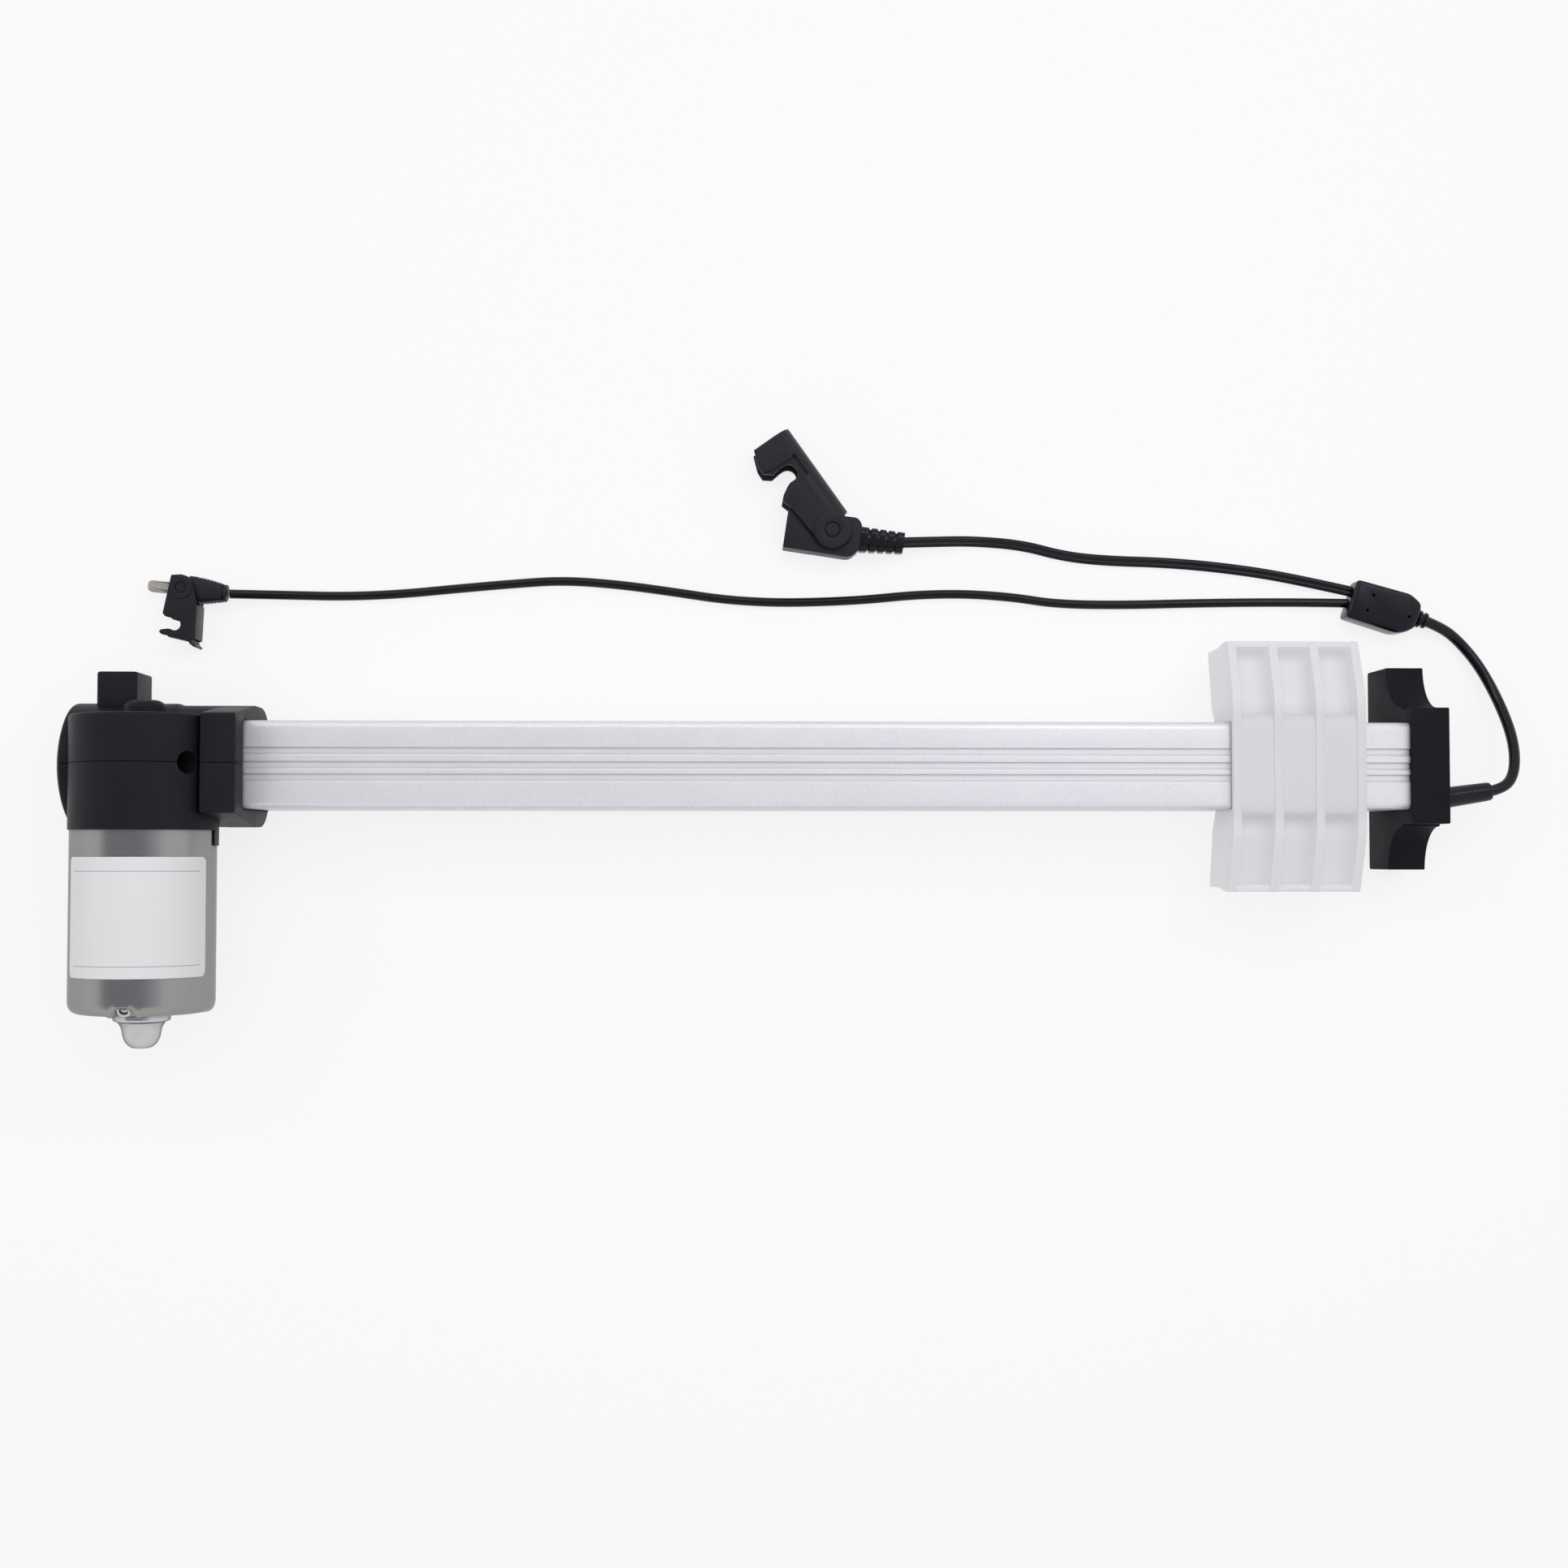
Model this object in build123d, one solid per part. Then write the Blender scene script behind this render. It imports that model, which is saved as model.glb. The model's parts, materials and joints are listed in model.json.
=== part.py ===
from build123d import *
import math
import os

# Electric linear actuator of the kind used in reclining chairs, lying on its back.
# All sizes are in millimetres. While it is built, X = 0 is the motor axis, Y = 0 is
# the parting plane through the spindle axis, and Z = 0 is the table.

# Levels above the table
SPINDLE_Z = 26.0
MOTOR_Z = 42.0

# Stroke and thread
STROKE = 333.0
SPINDLE_R = 6.0
THREAD_RUNNING_GAP = 0.06

# Gear pair: a worm with two starts drives a wheel with 22 teeth of module 1
MODULE = 1.0
WHEEL_TEETH = 22
WHEEL_FACE = 12.0
WORM_ROOT_R = 3.75
WORM_LENGTH = 25.0
WORM_GAP = 0.25

# Clearances
RUNNING_GAP = 0.04
SEAT_GAP = 0.02
SLIDE_GAP = 0.35
SHELL_GAP = 0.05

# Extruded rail
RAIL_WIDTH = 31.0
RAIL_DEPTH = 40.0
RAIL_WALL = 2.3
RAIL_CORNER = 2.0
RAIL_VISIBLE = 412.4
RAIL_SLOT = 10.0
GROOVE_WIDTH = 2.2
GROOVE_DEPTH = 0.8
GROOVE_PITCH = 4.75
GROOVES = 3
SCREW_PORT_R = 2.7
SCREW_PORT_INSET = 4.3

# Gearbox housing
CHAMBER_R = 22.5
CHAMBER_LEFT = -28.0
CHAMBER_RIGHT = 8.0
DOME_RISE = 5.0
COLLAR_LEFT = 23.1
COLLAR_RIGHT = 35.2
COLLAR_FRONT_Z = 58.0
COLLAR_FRONT_HALF = 17.2
COLLAR_HALF = 21.8
COLLAR_BACK_Z = 4.0
COLLAR_BACK_CORNER = 14.0
SHROUD_WALL = 0.6
SHROUD_TOP = 17.0
SHROUD_BOTTOM = -23.1
BOSS_R = 7.1
BOSS_REACH = 10.4
LUG_LEFT = -19.6
LUG_RIGHT = -5.4
LUG_TOP = 33.5
LUG_BACK_Z = 14.0
LUG_FRONT_Z = 34.0
CABLE_HOLE_R = 4.0
CABLE_HOLE_ANGLE = 49.5
CABLE_HOLE_DEPTH = 12.0
RAIL_POCKET_DEPTH = 11.2
FOOT_HALF_X = 9.0
FOOT_HALF_Y = 15.0
PIN_BORE_R = 4.1
PIN_BORE_Z = 6.6

# Housing screws
SCREW_R = 1.75
SCREW_HEAD_R = 3.2
SCREW_HEAD_HEIGHT = 2.5
SCREW_REACH = 12.0
SCREW_INSET = 7.0

# Motor
CAN_R = 24.8
CAN_WALL = 1.5
CAN_END = -86.7
CAN_EDGE = 4.5
SHAFT_R = 2.5
ARMATURE_SLOTS = 12
ARMATURE_FROM = -76.0
ARMATURE_TO = -38.0
WINDING_DEPTH = 4.0
COMMUTATOR_R = 8.0
COMMUTATOR_FROM = -33.0
COMMUTATOR_TO = -25.6
MAGNET_HALF_ANGLE = 58.0
MAGNET_THICK = 4.05
AIR_GAP = 1.2
BRUSH_WIDTH = 5.0
BRUSH_REACH = 18.0
HOLDER_THICK = 2.0
HOLDER_TOP = -24.5
CUP_FLANGE_R = 9.8
CUP_FLANGE_THICK = 3.2
CUP_NECK_R = 6.8
CUP_BULB_R = 6.2
CUP_TIP = -99.1
BEARING_OUTER_R = 5.0
BEARING_LENGTH = 5.0
FRONT_BEARING_R = 8.0
FRONT_BEARING_SET = 7.0

# Spindle
SPINDLE_JOURNAL_R = 5.0
SPINDLE_LEFT = -26.0
THRUST_BEARING_R = 11.0
THRUST_BEARING_LENGTH = 10.0
END_JOURNAL_R = 4.0
FIXING_NUT_R = 7.5
FIXING_NUT_LENGTH = 5.5

# Drive nut and slider block
SLIDER_LEFT = 383.3
SLIDER_LENGTH = 47.6
NUT_LENGTH = 36.0
NUT_HALF_WIDTH = 10.3
NUT_BACK_Z = 15.0
NUT_FRONT_Z = 38.0
CAM_HALF_WIDTH = 4.0
CAM_HEIGHT = 3.6
NECK_GAP = 0.6
SLIDER_HALF_SPAN = 45.0
PLATEAU_HALF = 24.3
PLATEAU_HEIGHT = 3.0
TIP_FRONT_Z = 41.0
TIP_BACK_Z = 13.0
WING_ROOT_BACK_Z = 19.0
CHANNEL_WALL = 2.6
CHANNEL_CORNER = 5.0
BRIDGE_THICK = 4.0
RIB = 3.1
BAYS = 3
POCKET_DEPTH = 10.0
WEB_THICK = 3.5
CHANNEL_SINK = 1.0
TIP_WALL = 2.6
STUD_HOLE_R = 2.6
STUD_BOSS_R = 5.0
STUD_Y = 34.0
STUD_HOLE_DEPTH = 10.0
SLIDER_SCREW_X = 12.0

# End cap
CAP_THICK = 13.6
CAP_BLOCK_HALF = 20.7
CAP_FRONT_RISE = 2.0
CAP_TIP_HALF = 37.2
CAP_TIP_Z = 21.5
CAP_SCOOP_R = 15.7
CAP_POCKET_DEPTH = 6.0
BUSH_R = 7.0
BUSH_LENGTH = 4.5
CAP_SCREW_R = 1.5
CAP_SCREW_LENGTH = 14.0

# Strain relief boot on the end cap
BOOT_Y = -11.8
BOOT_Z = 25.0
BOOT_TILT = 8.3
BOOT_LENGTH = 23.6
BOOT_ROOT_R = 4.0
BOOT_TIP_R = 3.35

# Limit switches, board and inner leads
BOARD_THICK = 1.4
BOARD_HALF_WIDTH = 6.5
SWITCH_LENGTH = 12.5
SWITCH_HALF_WIDTH = 3.2
SWITCH_GAP = 0.4
LEAD_R = 0.7
LEAD_SPACING = 8.0
LEAD_STANDOFF = 0.3
BUFFER_R = 10.0
BUFFER_THICK = 5.0

# Splitter
SPLITTER_HEIGHT = 10.0
SPLITTER_OUTLINE = [
    (441.4, 71.8),
    (461.5, 66.3),
    (465.5, 62.7),
    (465.1, 59.0),
    (462.9, 53.7),
    (459.2, 51.9),
    (455.4, 51.6),
    (436.6, 57.6),
]
NOZZLE_R = 3.3
NOZZLE_FROM = (463.4, 58.1)
NOZZLE_TO = (468.6, 56.5)
NOZZLE_RINGS = 2

# Socket connector, in its own frame: u towards the mouth, v away from the cable side
SOCKET_PIVOT = (243.4, 88.8)
SOCKET_TURN = 171.5
SOCKET_BOTTOM_V = -6.3
SOCKET_TOP_V = 8.9
SOCKET_MOUTH_U = 17.2
SOCKET_BACK_U = -11.0
SOCKET_BODY_Z = (1.9, 11.5)
SOCKET_CAVITY_DEPTH = 7.0
SOCKET_WALL = 1.5
SOCKET_PIN_R = 2.6
LATCH_PLATE = 1.6
LATCH_GAP = 0.3
LATCH_OPEN = 46.0
LATCH_BOSS_R = 6.5
LATCH_SPINE_V = 9.8
LATCH_SPINE_THICK = 2.0
LATCH_SPINE_FROM = 2.6
LATCH_TIP_U = 40.9
HOOK_CENTRE = (26.5, -1.1)
HOOK_R = 3.3
CONTACT_R = 1.1
CONTACT_PITCH = 5.0
CONTACT_LENGTH = 6.0
RELIEF_LENGTH = 16.2
RELIEF_ROOT = (9.6, 8.4)
RELIEF_TIP = (8.0, 7.0)
RELIEF_RIBS = 5
RELIEF_GROOVE = 0.9

# Plug connector, in its own frame: u towards the tip
PLUG_PIVOT = (3.6, 66.5)
PLUG_TURN = 174.5
PLUG_TIP_U = 13.2
PLUG_TIP_HALF_V = 2.4
PLUG_BODY_FROM = -16.0
PLUG_BODY_TO = -2.0
PLUG_BODY_FRONT_HALF = 4.7
PLUG_BODY_BACK_HALF = 3.1
PLUG_BODY_Z = (1.6, 9.8)
PLUG_PIN_R = 1.9
PLUG_TONGUE_HALF = 3.4
PLUG_GRIPS = 5

# Cords: radius of each tube, and the points of its route as chosen by eye
MAIN_R = 2.0
TWIN_R = 1.25
THIN_R = 1.7
MAIN_ROUTE = [
    (484.0, -8.47, 25.0),
    (489.4, -7.4, 24.6),
    (494.2, -2.9, 22.4),
    (496.5, 5.6, 18.6),
    (496.6, 15.5, 13.6),
    (493.8, 28.0, 8.0),
    (488.8, 40.2, 4.0),
    (481.5, 49.6, 2.6),
    (474.6, 54.4, 3.9),
    (467.6, 56.8, 5.0),
]
TWIN_ROUTE = [
    (441.4, 67.6, 3.4),
    (424.0, 71.8, 1.6),
    (402.2, 75.8, 1.3),
    (374.4, 78.7, 1.3),
    (347.0, 79.4, 1.3),
    (331.2, 81.1, 1.3),
    (315.9, 85.2, 1.3),
    (297.4, 86.6, 1.5),
    (283.6, 85.9, 4.2),
    (270.2, 85.1, 6.7),
]
THIN_ROUTE = [
    (440.0, 63.4, 3.4),
    (420.0, 63.9, 1.9),
    (385.0, 63.5, 1.75),
    (352.0, 62.5, 1.75),
    (328.0, 62.9, 1.75),
    (312.8, 65.3, 1.75),
    (294.0, 66.6, 1.75),
    (275.0, 66.1, 1.75),
    (258.0, 64.3, 1.75),
    (241.0, 63.3, 1.75),
    (222.0, 62.9, 1.75),
    (203.0, 64.0, 1.75),
    (185.0, 66.7, 1.75),
    (164.0, 69.5, 1.75),
    (143.0, 71.0, 1.75),
    (124.0, 69.6, 1.75),
    (102.5, 67.6, 1.75),
    (83.0, 65.6, 1.75),
    (62.0, 64.6, 1.75),
    (41.0, 64.9, 2.6),
    (20.1, 64.9, 5.5),
]
CORD_NODES = [
    "main_cable",
    "splitter",
    "socket_lead",
    "plug_lead",
    "socket_body",
    "socket_contacts",
    "socket_strain_relief",
    "socket_latch",
    "plug_body",
    "plug_insert",
    "plug_contacts",
    "plug_latch",
]

# Places that follow from the sizes above
RAIL_FRONT_Z = SPINDLE_Z + RAIL_DEPTH / 2
RAIL_BACK_Z = SPINDLE_Z - RAIL_DEPTH / 2
RAIL_HALF = RAIL_WIDTH / 2
RAIL_FROM = COLLAR_RIGHT - RAIL_POCKET_DEPTH
CAP_LEFT = COLLAR_RIGHT + RAIL_VISIBLE
CAP_RIGHT = CAP_LEFT + CAP_THICK
RAIL_TO = CAP_LEFT + CAP_POCKET_DEPTH
BOARD_Z = RAIL_FRONT_Z - RAIL_WALL - SHELL_GAP
PORT_Y = RAIL_HALF - SCREW_PORT_INSET
PORT_Z = RAIL_DEPTH / 2 - SCREW_PORT_INSET
SLIDER_RIGHT = SLIDER_LEFT + SLIDER_LENGTH
SLIDER_MID = SLIDER_LEFT + SLIDER_LENGTH / 2
PLATEAU_Z = RAIL_FRONT_Z + PLATEAU_HEIGHT
BRIDGE_TOP_Z = RAIL_BACK_Z - SLIDE_GAP
BRIDGE_BACK_Z = BRIDGE_TOP_Z - BRIDGE_THICK
CHANNEL_HALF = RAIL_HALF + SLIDE_GAP
CHANNEL_OUTER = CHANNEL_HALF + CHANNEL_WALL
NUT_LEFT = SLIDER_MID - NUT_LENGTH / 2
NUT_RIGHT = SLIDER_MID + NUT_LENGTH / 2
BAY_PITCH = (SLIDER_LENGTH - RIB) / BAYS
CAN_INNER_R = CAN_R - CAN_WALL
MAGNET_OUTER_R = CAN_INNER_R - SHELL_GAP
ARMATURE_R = MAGNET_OUTER_R - MAGNET_THICK - AIR_GAP
SHROUD_R = CAN_R + SHROUD_WALL
BOSS_TOP = WORM_LENGTH / 2 + BOSS_REACH
FRONT_BEARING_FROM = -WORM_LENGTH / 2 - FRONT_BEARING_SET
CENTRE_DISTANCE = MOTOR_Z - SPINDLE_Z
WHEEL_TIP_R = CENTRE_DISTANCE - WORM_ROOT_R - WORM_GAP


def cyl_x(radius, x0, x1, y=0.0, z=SPINDLE_Z):
    """Cylinder along X from x0 to x1."""
    return Pos((x0 + x1) / 2, y, z) * Rot(0, 90, 0) * Cylinder(radius, x1 - x0)


def cyl_y(radius, y0, y1, x=0.0, z=MOTOR_Z):
    """Cylinder along Y from y0 to y1."""
    return Pos(x, (y0 + y1) / 2, z) * Rot(90, 0, 0) * Cylinder(radius, y1 - y0)


def cyl_z(radius, z0, z1, x, y):
    """Cylinder along Z from z0 to z1."""
    return Pos(x, y, (z0 + z1) / 2) * Cylinder(radius, z1 - z0)


def block(x0, x1, y0, y1, z0, z1):
    """Box between two corners."""
    centre = Pos((x0 + x1) / 2, (y0 + y1) / 2, (z0 + z1) / 2)
    return centre * Box(x1 - x0, y1 - y0, z1 - z0)


def ring_x(outer, inner, x0, x1, y=0.0, z=SPINDLE_Z):
    """Ring about an axis along X."""
    return cyl_x(outer, x0, x1, y, z) - cyl_x(inner, x0, x1, y, z)


def ring_y(outer, inner, y0, y1, x=0.0, z=MOTOR_Z):
    """Ring about an axis along Y."""
    return cyl_y(outer, y0, y1, x, z) - cyl_y(inner, y0, y1, x, z)


def prism_x(outline, x0, x1):
    """Outline of (y, z) points carried along X."""
    face = Plane.YZ.offset(x0) * Polygon(*outline, align=None)
    return extrude(face, x1 - x0, dir=(1, 0, 0))


def prism_z(outline, z0, z1):
    """Outline of (x, y) points carried along Z."""
    face = Pos(0, 0, z0) * Polygon(*outline, align=None)
    return extrude(face, z1 - z0, dir=(0, 0, 1))


def mirrored(outline):
    """An outline given for positive y, closed with its mirror image."""
    return outline + [(-y, z) for y, z in reversed(outline)]


# Gearbox housing


def collar_solid():
    """Collar round the rail: flat front, leaning sides and a rounded back."""
    corner = COLLAR_BACK_CORNER
    arc_y = COLLAR_HALF - corner
    arc_z = COLLAR_BACK_Z + corner
    steps = [math.radians(15 * n) for n in range(7)]
    back = [(arc_y + corner * math.cos(a), arc_z - corner * math.sin(a)) for a in steps]
    half = [(COLLAR_FRONT_HALF, COLLAR_FRONT_Z), (COLLAR_HALF, SPINDLE_Z + 1.0)] + back
    return prism_x(mirrored(half), COLLAR_LEFT, COLLAR_RIGHT)


def housing_outside():
    """Chamber round the spindle, shroud round the motor axis, collar, lug, boss and foot."""
    chamber = cyl_x(CHAMBER_R, CHAMBER_LEFT, CHAMBER_RIGHT)
    neck = cyl_x(COLLAR_HALF, CHAMBER_RIGHT, COLLAR_LEFT)
    ball_r = (CHAMBER_R**2 + DOME_RISE**2) / (2 * DOME_RISE)
    ball = Pos(CHAMBER_LEFT - DOME_RISE + ball_r, 0, SPINDLE_Z) * Sphere(ball_r)
    dome = ball & cyl_x(CHAMBER_R, CHAMBER_LEFT - DOME_RISE, CHAMBER_LEFT)
    shroud = cyl_y(SHROUD_R, SHROUD_BOTTOM, SHROUD_TOP)
    rim = shroud.edges().filter_by(GeomType.CIRCLE).sort_by(Axis.Y)[-1]
    shroud = fillet(rim, 1.2)
    boss = cyl_y(BOSS_R, 0, BOSS_TOP)
    boss = fillet(boss.edges().filter_by(GeomType.CIRCLE).sort_by(Axis.Y)[-1], 2.0)
    lug = block(LUG_LEFT, LUG_RIGHT, 0, LUG_TOP, LUG_BACK_Z, LUG_FRONT_Z)
    lug = fillet(lug.edges().filter_by(Axis.Y), 1.5)
    lug = fillet(lug.faces().sort_by(Axis.Y)[-1].edges(), 1.0)
    foot = block(-FOOT_HALF_X, FOOT_HALF_X, -FOOT_HALF_Y, FOOT_HALF_Y, 0, SPINDLE_Z / 2)
    foot = fillet(foot.edges().filter_by(Axis.Y).group_by(Axis.Z)[0], 3.0)
    return chamber + neck + dome + shroud + collar_solid() + boss + lug + foot


def screw_places():
    """(x, z) of the screws that close the housing: two behind the chamber, one in front."""
    behind = SPINDLE_Z - THRUST_BEARING_R - SCREW_HEAD_R
    right = COLLAR_LEFT - SCREW_INSET
    return [(CHAMBER_LEFT + SCREW_INSET, behind), (right, behind), (-right, MOTOR_Z + SHROUD_R / 2)]


def housing_inside():
    """Everything cut out of the housing."""
    wheel_room = cyl_x(WHEEL_TIP_R + 1.0, -WHEEL_FACE / 2 - 3.0, WHEEL_FACE / 2 + 2.0)
    worm_room = cyl_y(WORM_ROOT_R + 3.2, -WORM_LENGTH / 2 - 1.0, WORM_LENGTH / 2 + 1.0)
    thrust_to = -WHEEL_FACE / 2 - 3.0
    thrust_seat = cyl_x(THRUST_BEARING_R + SEAT_GAP, thrust_to - THRUST_BEARING_LENGTH, thrust_to)
    nut_from = SPINDLE_LEFT - 0.6
    nut_room = cyl_x(FIXING_NUT_R + 0.6, nut_from, thrust_to - THRUST_BEARING_LENGTH)
    spindle_way = cyl_x(SPINDLE_R + 2.0, WHEEL_FACE / 2 + 2.0, RAIL_FROM)
    half = RAIL_HALF + SHELL_GAP
    back = RAIL_BACK_Z - SHELL_GAP
    front = RAIL_FRONT_Z + SHELL_GAP
    pocket = block(RAIL_FROM, COLLAR_RIGHT, -half, half, back, front)
    pocket = fillet(pocket.edges().filter_by(Axis.X), RAIL_CORNER)
    front_seat = cyl_y(FRONT_BEARING_R + SEAT_GAP, FRONT_BEARING_FROM, -WORM_LENGTH / 2 - 1.0)
    shaft_way = cyl_y(SHAFT_R + 1.5, SHROUD_BOTTOM, FRONT_BEARING_FROM)
    end_seat = cyl_y(BEARING_OUTER_R + SEAT_GAP, WORM_LENGTH / 2 + 1.0, BOSS_TOP - 2.4)
    bored = CABLE_HOLE_DEPTH + SHROUD_WALL
    cable_hole = Pos(0, 0, SHROUD_R + SHROUD_WALL - bored / 2) * Cylinder(CABLE_HOLE_R, bored)
    cable_hole = Pos(0, 0, MOTOR_Z) * Rot(0, CABLE_HOLE_ANGLE, 0) * cable_hole
    pin_bore = cyl_y(PIN_BORE_R, -FOOT_HALF_Y, FOOT_HALF_Y, 0, PIN_BORE_Z)
    pin_bore += cyl_y(PIN_BORE_R + 1.0, FOOT_HALF_Y, CHAMBER_R, 0, PIN_BORE_Z)
    pin_bore += cyl_y(PIN_BORE_R + 1.0, -CHAMBER_R, -FOOT_HALF_Y, 0, PIN_BORE_Z)
    cut = wheel_room + worm_room + thrust_seat + nut_room + spindle_way + pocket
    cut += front_seat + shaft_way + end_seat + cable_hole + pin_bore
    for x, z in screw_places():
        cut += cyl_y(SCREW_R + SEAT_GAP, -SCREW_REACH, SCREW_REACH, x, z)
        cut += cyl_y(SCREW_HEAD_R + 0.1, SHROUD_BOTTOM, -SCREW_REACH, x, z)
    return cut


def latch_finger():
    """Thin finger of the lower half that lies along the can."""
    wall = ring_y(SHROUD_R, CAN_R + SHELL_GAP, SHROUD_BOTTOM - 5.4, SHROUD_BOTTOM)
    return wall & block(0, SHROUD_R, SHROUD_BOTTOM - 5.4, SHROUD_BOTTOM, MOTOR_Z - 7.4, MOTOR_Z + 2.6)


def gear_housing():
    """Both halves of the housing, parted in the plane through the spindle axis."""
    whole = housing_outside() - housing_inside()
    reach = 2 * COLLAR_RIGHT + BOOT_LENGTH
    above = block(-reach, reach, 0, reach, -reach, 2 * reach)
    below = block(-reach, reach, -reach, 0, -reach, 2 * reach)
    return whole & above, (whole & below) + latch_finger()


def housing_screws():
    """Three screws that hold the halves together."""
    screws = []
    for x, z in screw_places():
        stem = cyl_y(SCREW_R, -SCREW_REACH, SCREW_REACH - 1.0, x, z)
        head = cyl_y(SCREW_HEAD_R, -SCREW_REACH - SCREW_HEAD_HEIGHT, -SCREW_REACH, x, z)
        drive = cyl_y(SCREW_R * 0.7, -SCREW_REACH - SCREW_HEAD_HEIGHT, -SCREW_REACH - 1.0, x, z)
        screws.append(stem + head - drive)
    return Compound(screws)


# Motor


def motor_can():
    """Drawn steel can with a rounded closed end."""
    can = cyl_y(CAN_R, CAN_END, SHROUD_BOTTOM)
    can = fillet(can.edges().filter_by(GeomType.CIRCLE).sort_by(Axis.Y)[0], CAN_EDGE)
    hollow = cyl_y(CAN_INNER_R, CAN_END + CAN_WALL, SHROUD_BOTTOM)
    inner_edge = hollow.edges().filter_by(GeomType.CIRCLE).sort_by(Axis.Y)[0]
    hollow = fillet(inner_edge, CAN_EDGE - CAN_WALL)
    return can - hollow - cyl_y(BEARING_OUTER_R, CAN_END, CAN_END + CAN_WALL)


def motor_end_cup():
    """Cup on the can's end that holds the rear bearing: flange, waist and rounded tip."""
    flange_end = CAN_END - CUP_FLANGE_THICK
    with BuildPart() as cup:
        with BuildSketch(Plane.XY):
            with BuildLine():
                Polyline(
                    (0, CAN_END),
                    (CUP_FLANGE_R - 0.8, CAN_END),
                    (CUP_FLANGE_R, CAN_END - 0.8),
                    (CUP_FLANGE_R, flange_end + 1.0),
                    (CUP_FLANGE_R - 1.0, flange_end),
                )
                ThreePointArc(
                    (CUP_FLANGE_R - 1.0, flange_end),
                    (CUP_NECK_R + 0.7, flange_end - 1.4),
                    (CUP_NECK_R, flange_end - 4.0),
                )
                Line((CUP_NECK_R, flange_end - 4.0), (CUP_BULB_R, CUP_TIP + 3.2))
                ThreePointArc(
                    (CUP_BULB_R, CUP_TIP + 3.2),
                    (CUP_BULB_R - 1.4, CUP_TIP + 1.0),
                    (CUP_BULB_R - 4.0, CUP_TIP),
                )
                Polyline((CUP_BULB_R - 4.0, CUP_TIP), (0, CUP_TIP), (0, CAN_END))
            make_face()
        revolve(axis=Axis.Y)
    hollow = cyl_y(BEARING_OUTER_R + SEAT_GAP, CUP_TIP + 3.4, CAN_END, z=0)
    return Pos(0, 0, MOTOR_Z) * (cup.part - hollow)


def motor_bearings():
    """Plain bearings at the rear, behind the commutator and at the worm's far end."""
    bore = SHAFT_R + RUNNING_GAP
    rear_from = CUP_TIP + 3.4
    rear = ring_y(BEARING_OUTER_R, bore, rear_from, rear_from + BEARING_LENGTH)
    front = ring_y(FRONT_BEARING_R, bore, FRONT_BEARING_FROM, FRONT_BEARING_FROM + BEARING_LENGTH)
    end_from = WORM_LENGTH / 2 + 1.0
    end = ring_y(BEARING_OUTER_R, bore, end_from, end_from + BEARING_LENGTH)
    return Compound([rear, front, end])


def magnets():
    """Two curved magnets along the can wall."""
    inner = MAGNET_OUTER_R - MAGNET_THICK
    shell = ring_y(MAGNET_OUTER_R, inner, ARMATURE_FROM - 1.0, ARMATURE_TO + 1.0)
    gap_half = CAN_R * math.cos(math.radians(MAGNET_HALF_ANGLE))
    slot = block(-CAN_R, CAN_R, CAN_END, SHROUD_BOTTOM, MOTOR_Z - gap_half, MOTOR_Z + gap_half)
    return shell - slot


def brush_holder():
    """Plate across the can with a guide box round each brush."""
    plate = ring_y(CAN_INNER_R - SHELL_GAP, COMMUTATOR_R + 1.6, HOLDER_TOP - HOLDER_THICK, HOLDER_TOP)
    half = BRUSH_WIDTH / 2
    for side in (-1, 1):
        x0, x1 = sorted((side * (COMMUTATOR_R + 2.0), side * (BRUSH_REACH + 1.0)))
        top = HOLDER_TOP - HOLDER_THICK
        box = block(x0, x1, top - BRUSH_WIDTH - 1.2, top, MOTOR_Z - half - 1.2, MOTOR_Z + half + 1.2)
        bore = block(x0 - 2, x1 + 2, top - BRUSH_WIDTH - 0.1, top, MOTOR_Z - half - 0.1, MOTOR_Z + half + 0.1)
        plate += box - bore
    return plate


def brushes():
    """Two carbon brushes that press on the commutator."""
    half = BRUSH_WIDTH / 2
    top = HOLDER_TOP - HOLDER_THICK
    pair = []
    for side in (-1, 1):
        x0, x1 = sorted((side * (COMMUTATOR_R + 0.3), side * BRUSH_REACH))
        pair.append(block(x0, x1, top - BRUSH_WIDTH, top, MOTOR_Z - half, MOTOR_Z + half))
    return Compound(pair)


def motor_shaft():
    """Rotor shaft from the end cup to the worm's far bearing."""
    return cyl_y(SHAFT_R, CUP_TIP + 3.8, BOSS_TOP - 2.8)


def armature():
    """Laminated core with slots for the winding."""
    core = ring_y(ARMATURE_R, SHAFT_R + SEAT_GAP, ARMATURE_FROM, ARMATURE_TO)
    slot = cyl_y(1.6, ARMATURE_FROM, ARMATURE_TO, ARMATURE_R - 3.0, 0)
    slot += block(ARMATURE_R - 3.0, ARMATURE_R + 1, ARMATURE_FROM, ARMATURE_TO, -0.6, 0.6)
    for n in range(ARMATURE_SLOTS):
        turn = Rot(0, 360 / ARMATURE_SLOTS * n, 0)
        core -= Pos(0, 0, MOTOR_Z) * turn * slot
    return core


def winding():
    """Copper end turns at both ends of the armature."""
    inner, outer = SHAFT_R + 2.5, ARMATURE_R - 2.5
    rear = ring_y(outer, inner, ARMATURE_FROM - WINDING_DEPTH, ARMATURE_FROM)
    front = ring_y(outer, inner, ARMATURE_TO, ARMATURE_TO + WINDING_DEPTH)
    rings = []
    for part in (rear, front):
        rings.append(fillet(part.edges().filter_by(GeomType.CIRCLE), 1.4))
    return Compound(rings)


def commutator():
    """Copper commutator on the shaft."""
    return ring_y(COMMUTATOR_R, SHAFT_R + SEAT_GAP, COMMUTATOR_FROM, COMMUTATOR_TO)


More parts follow.
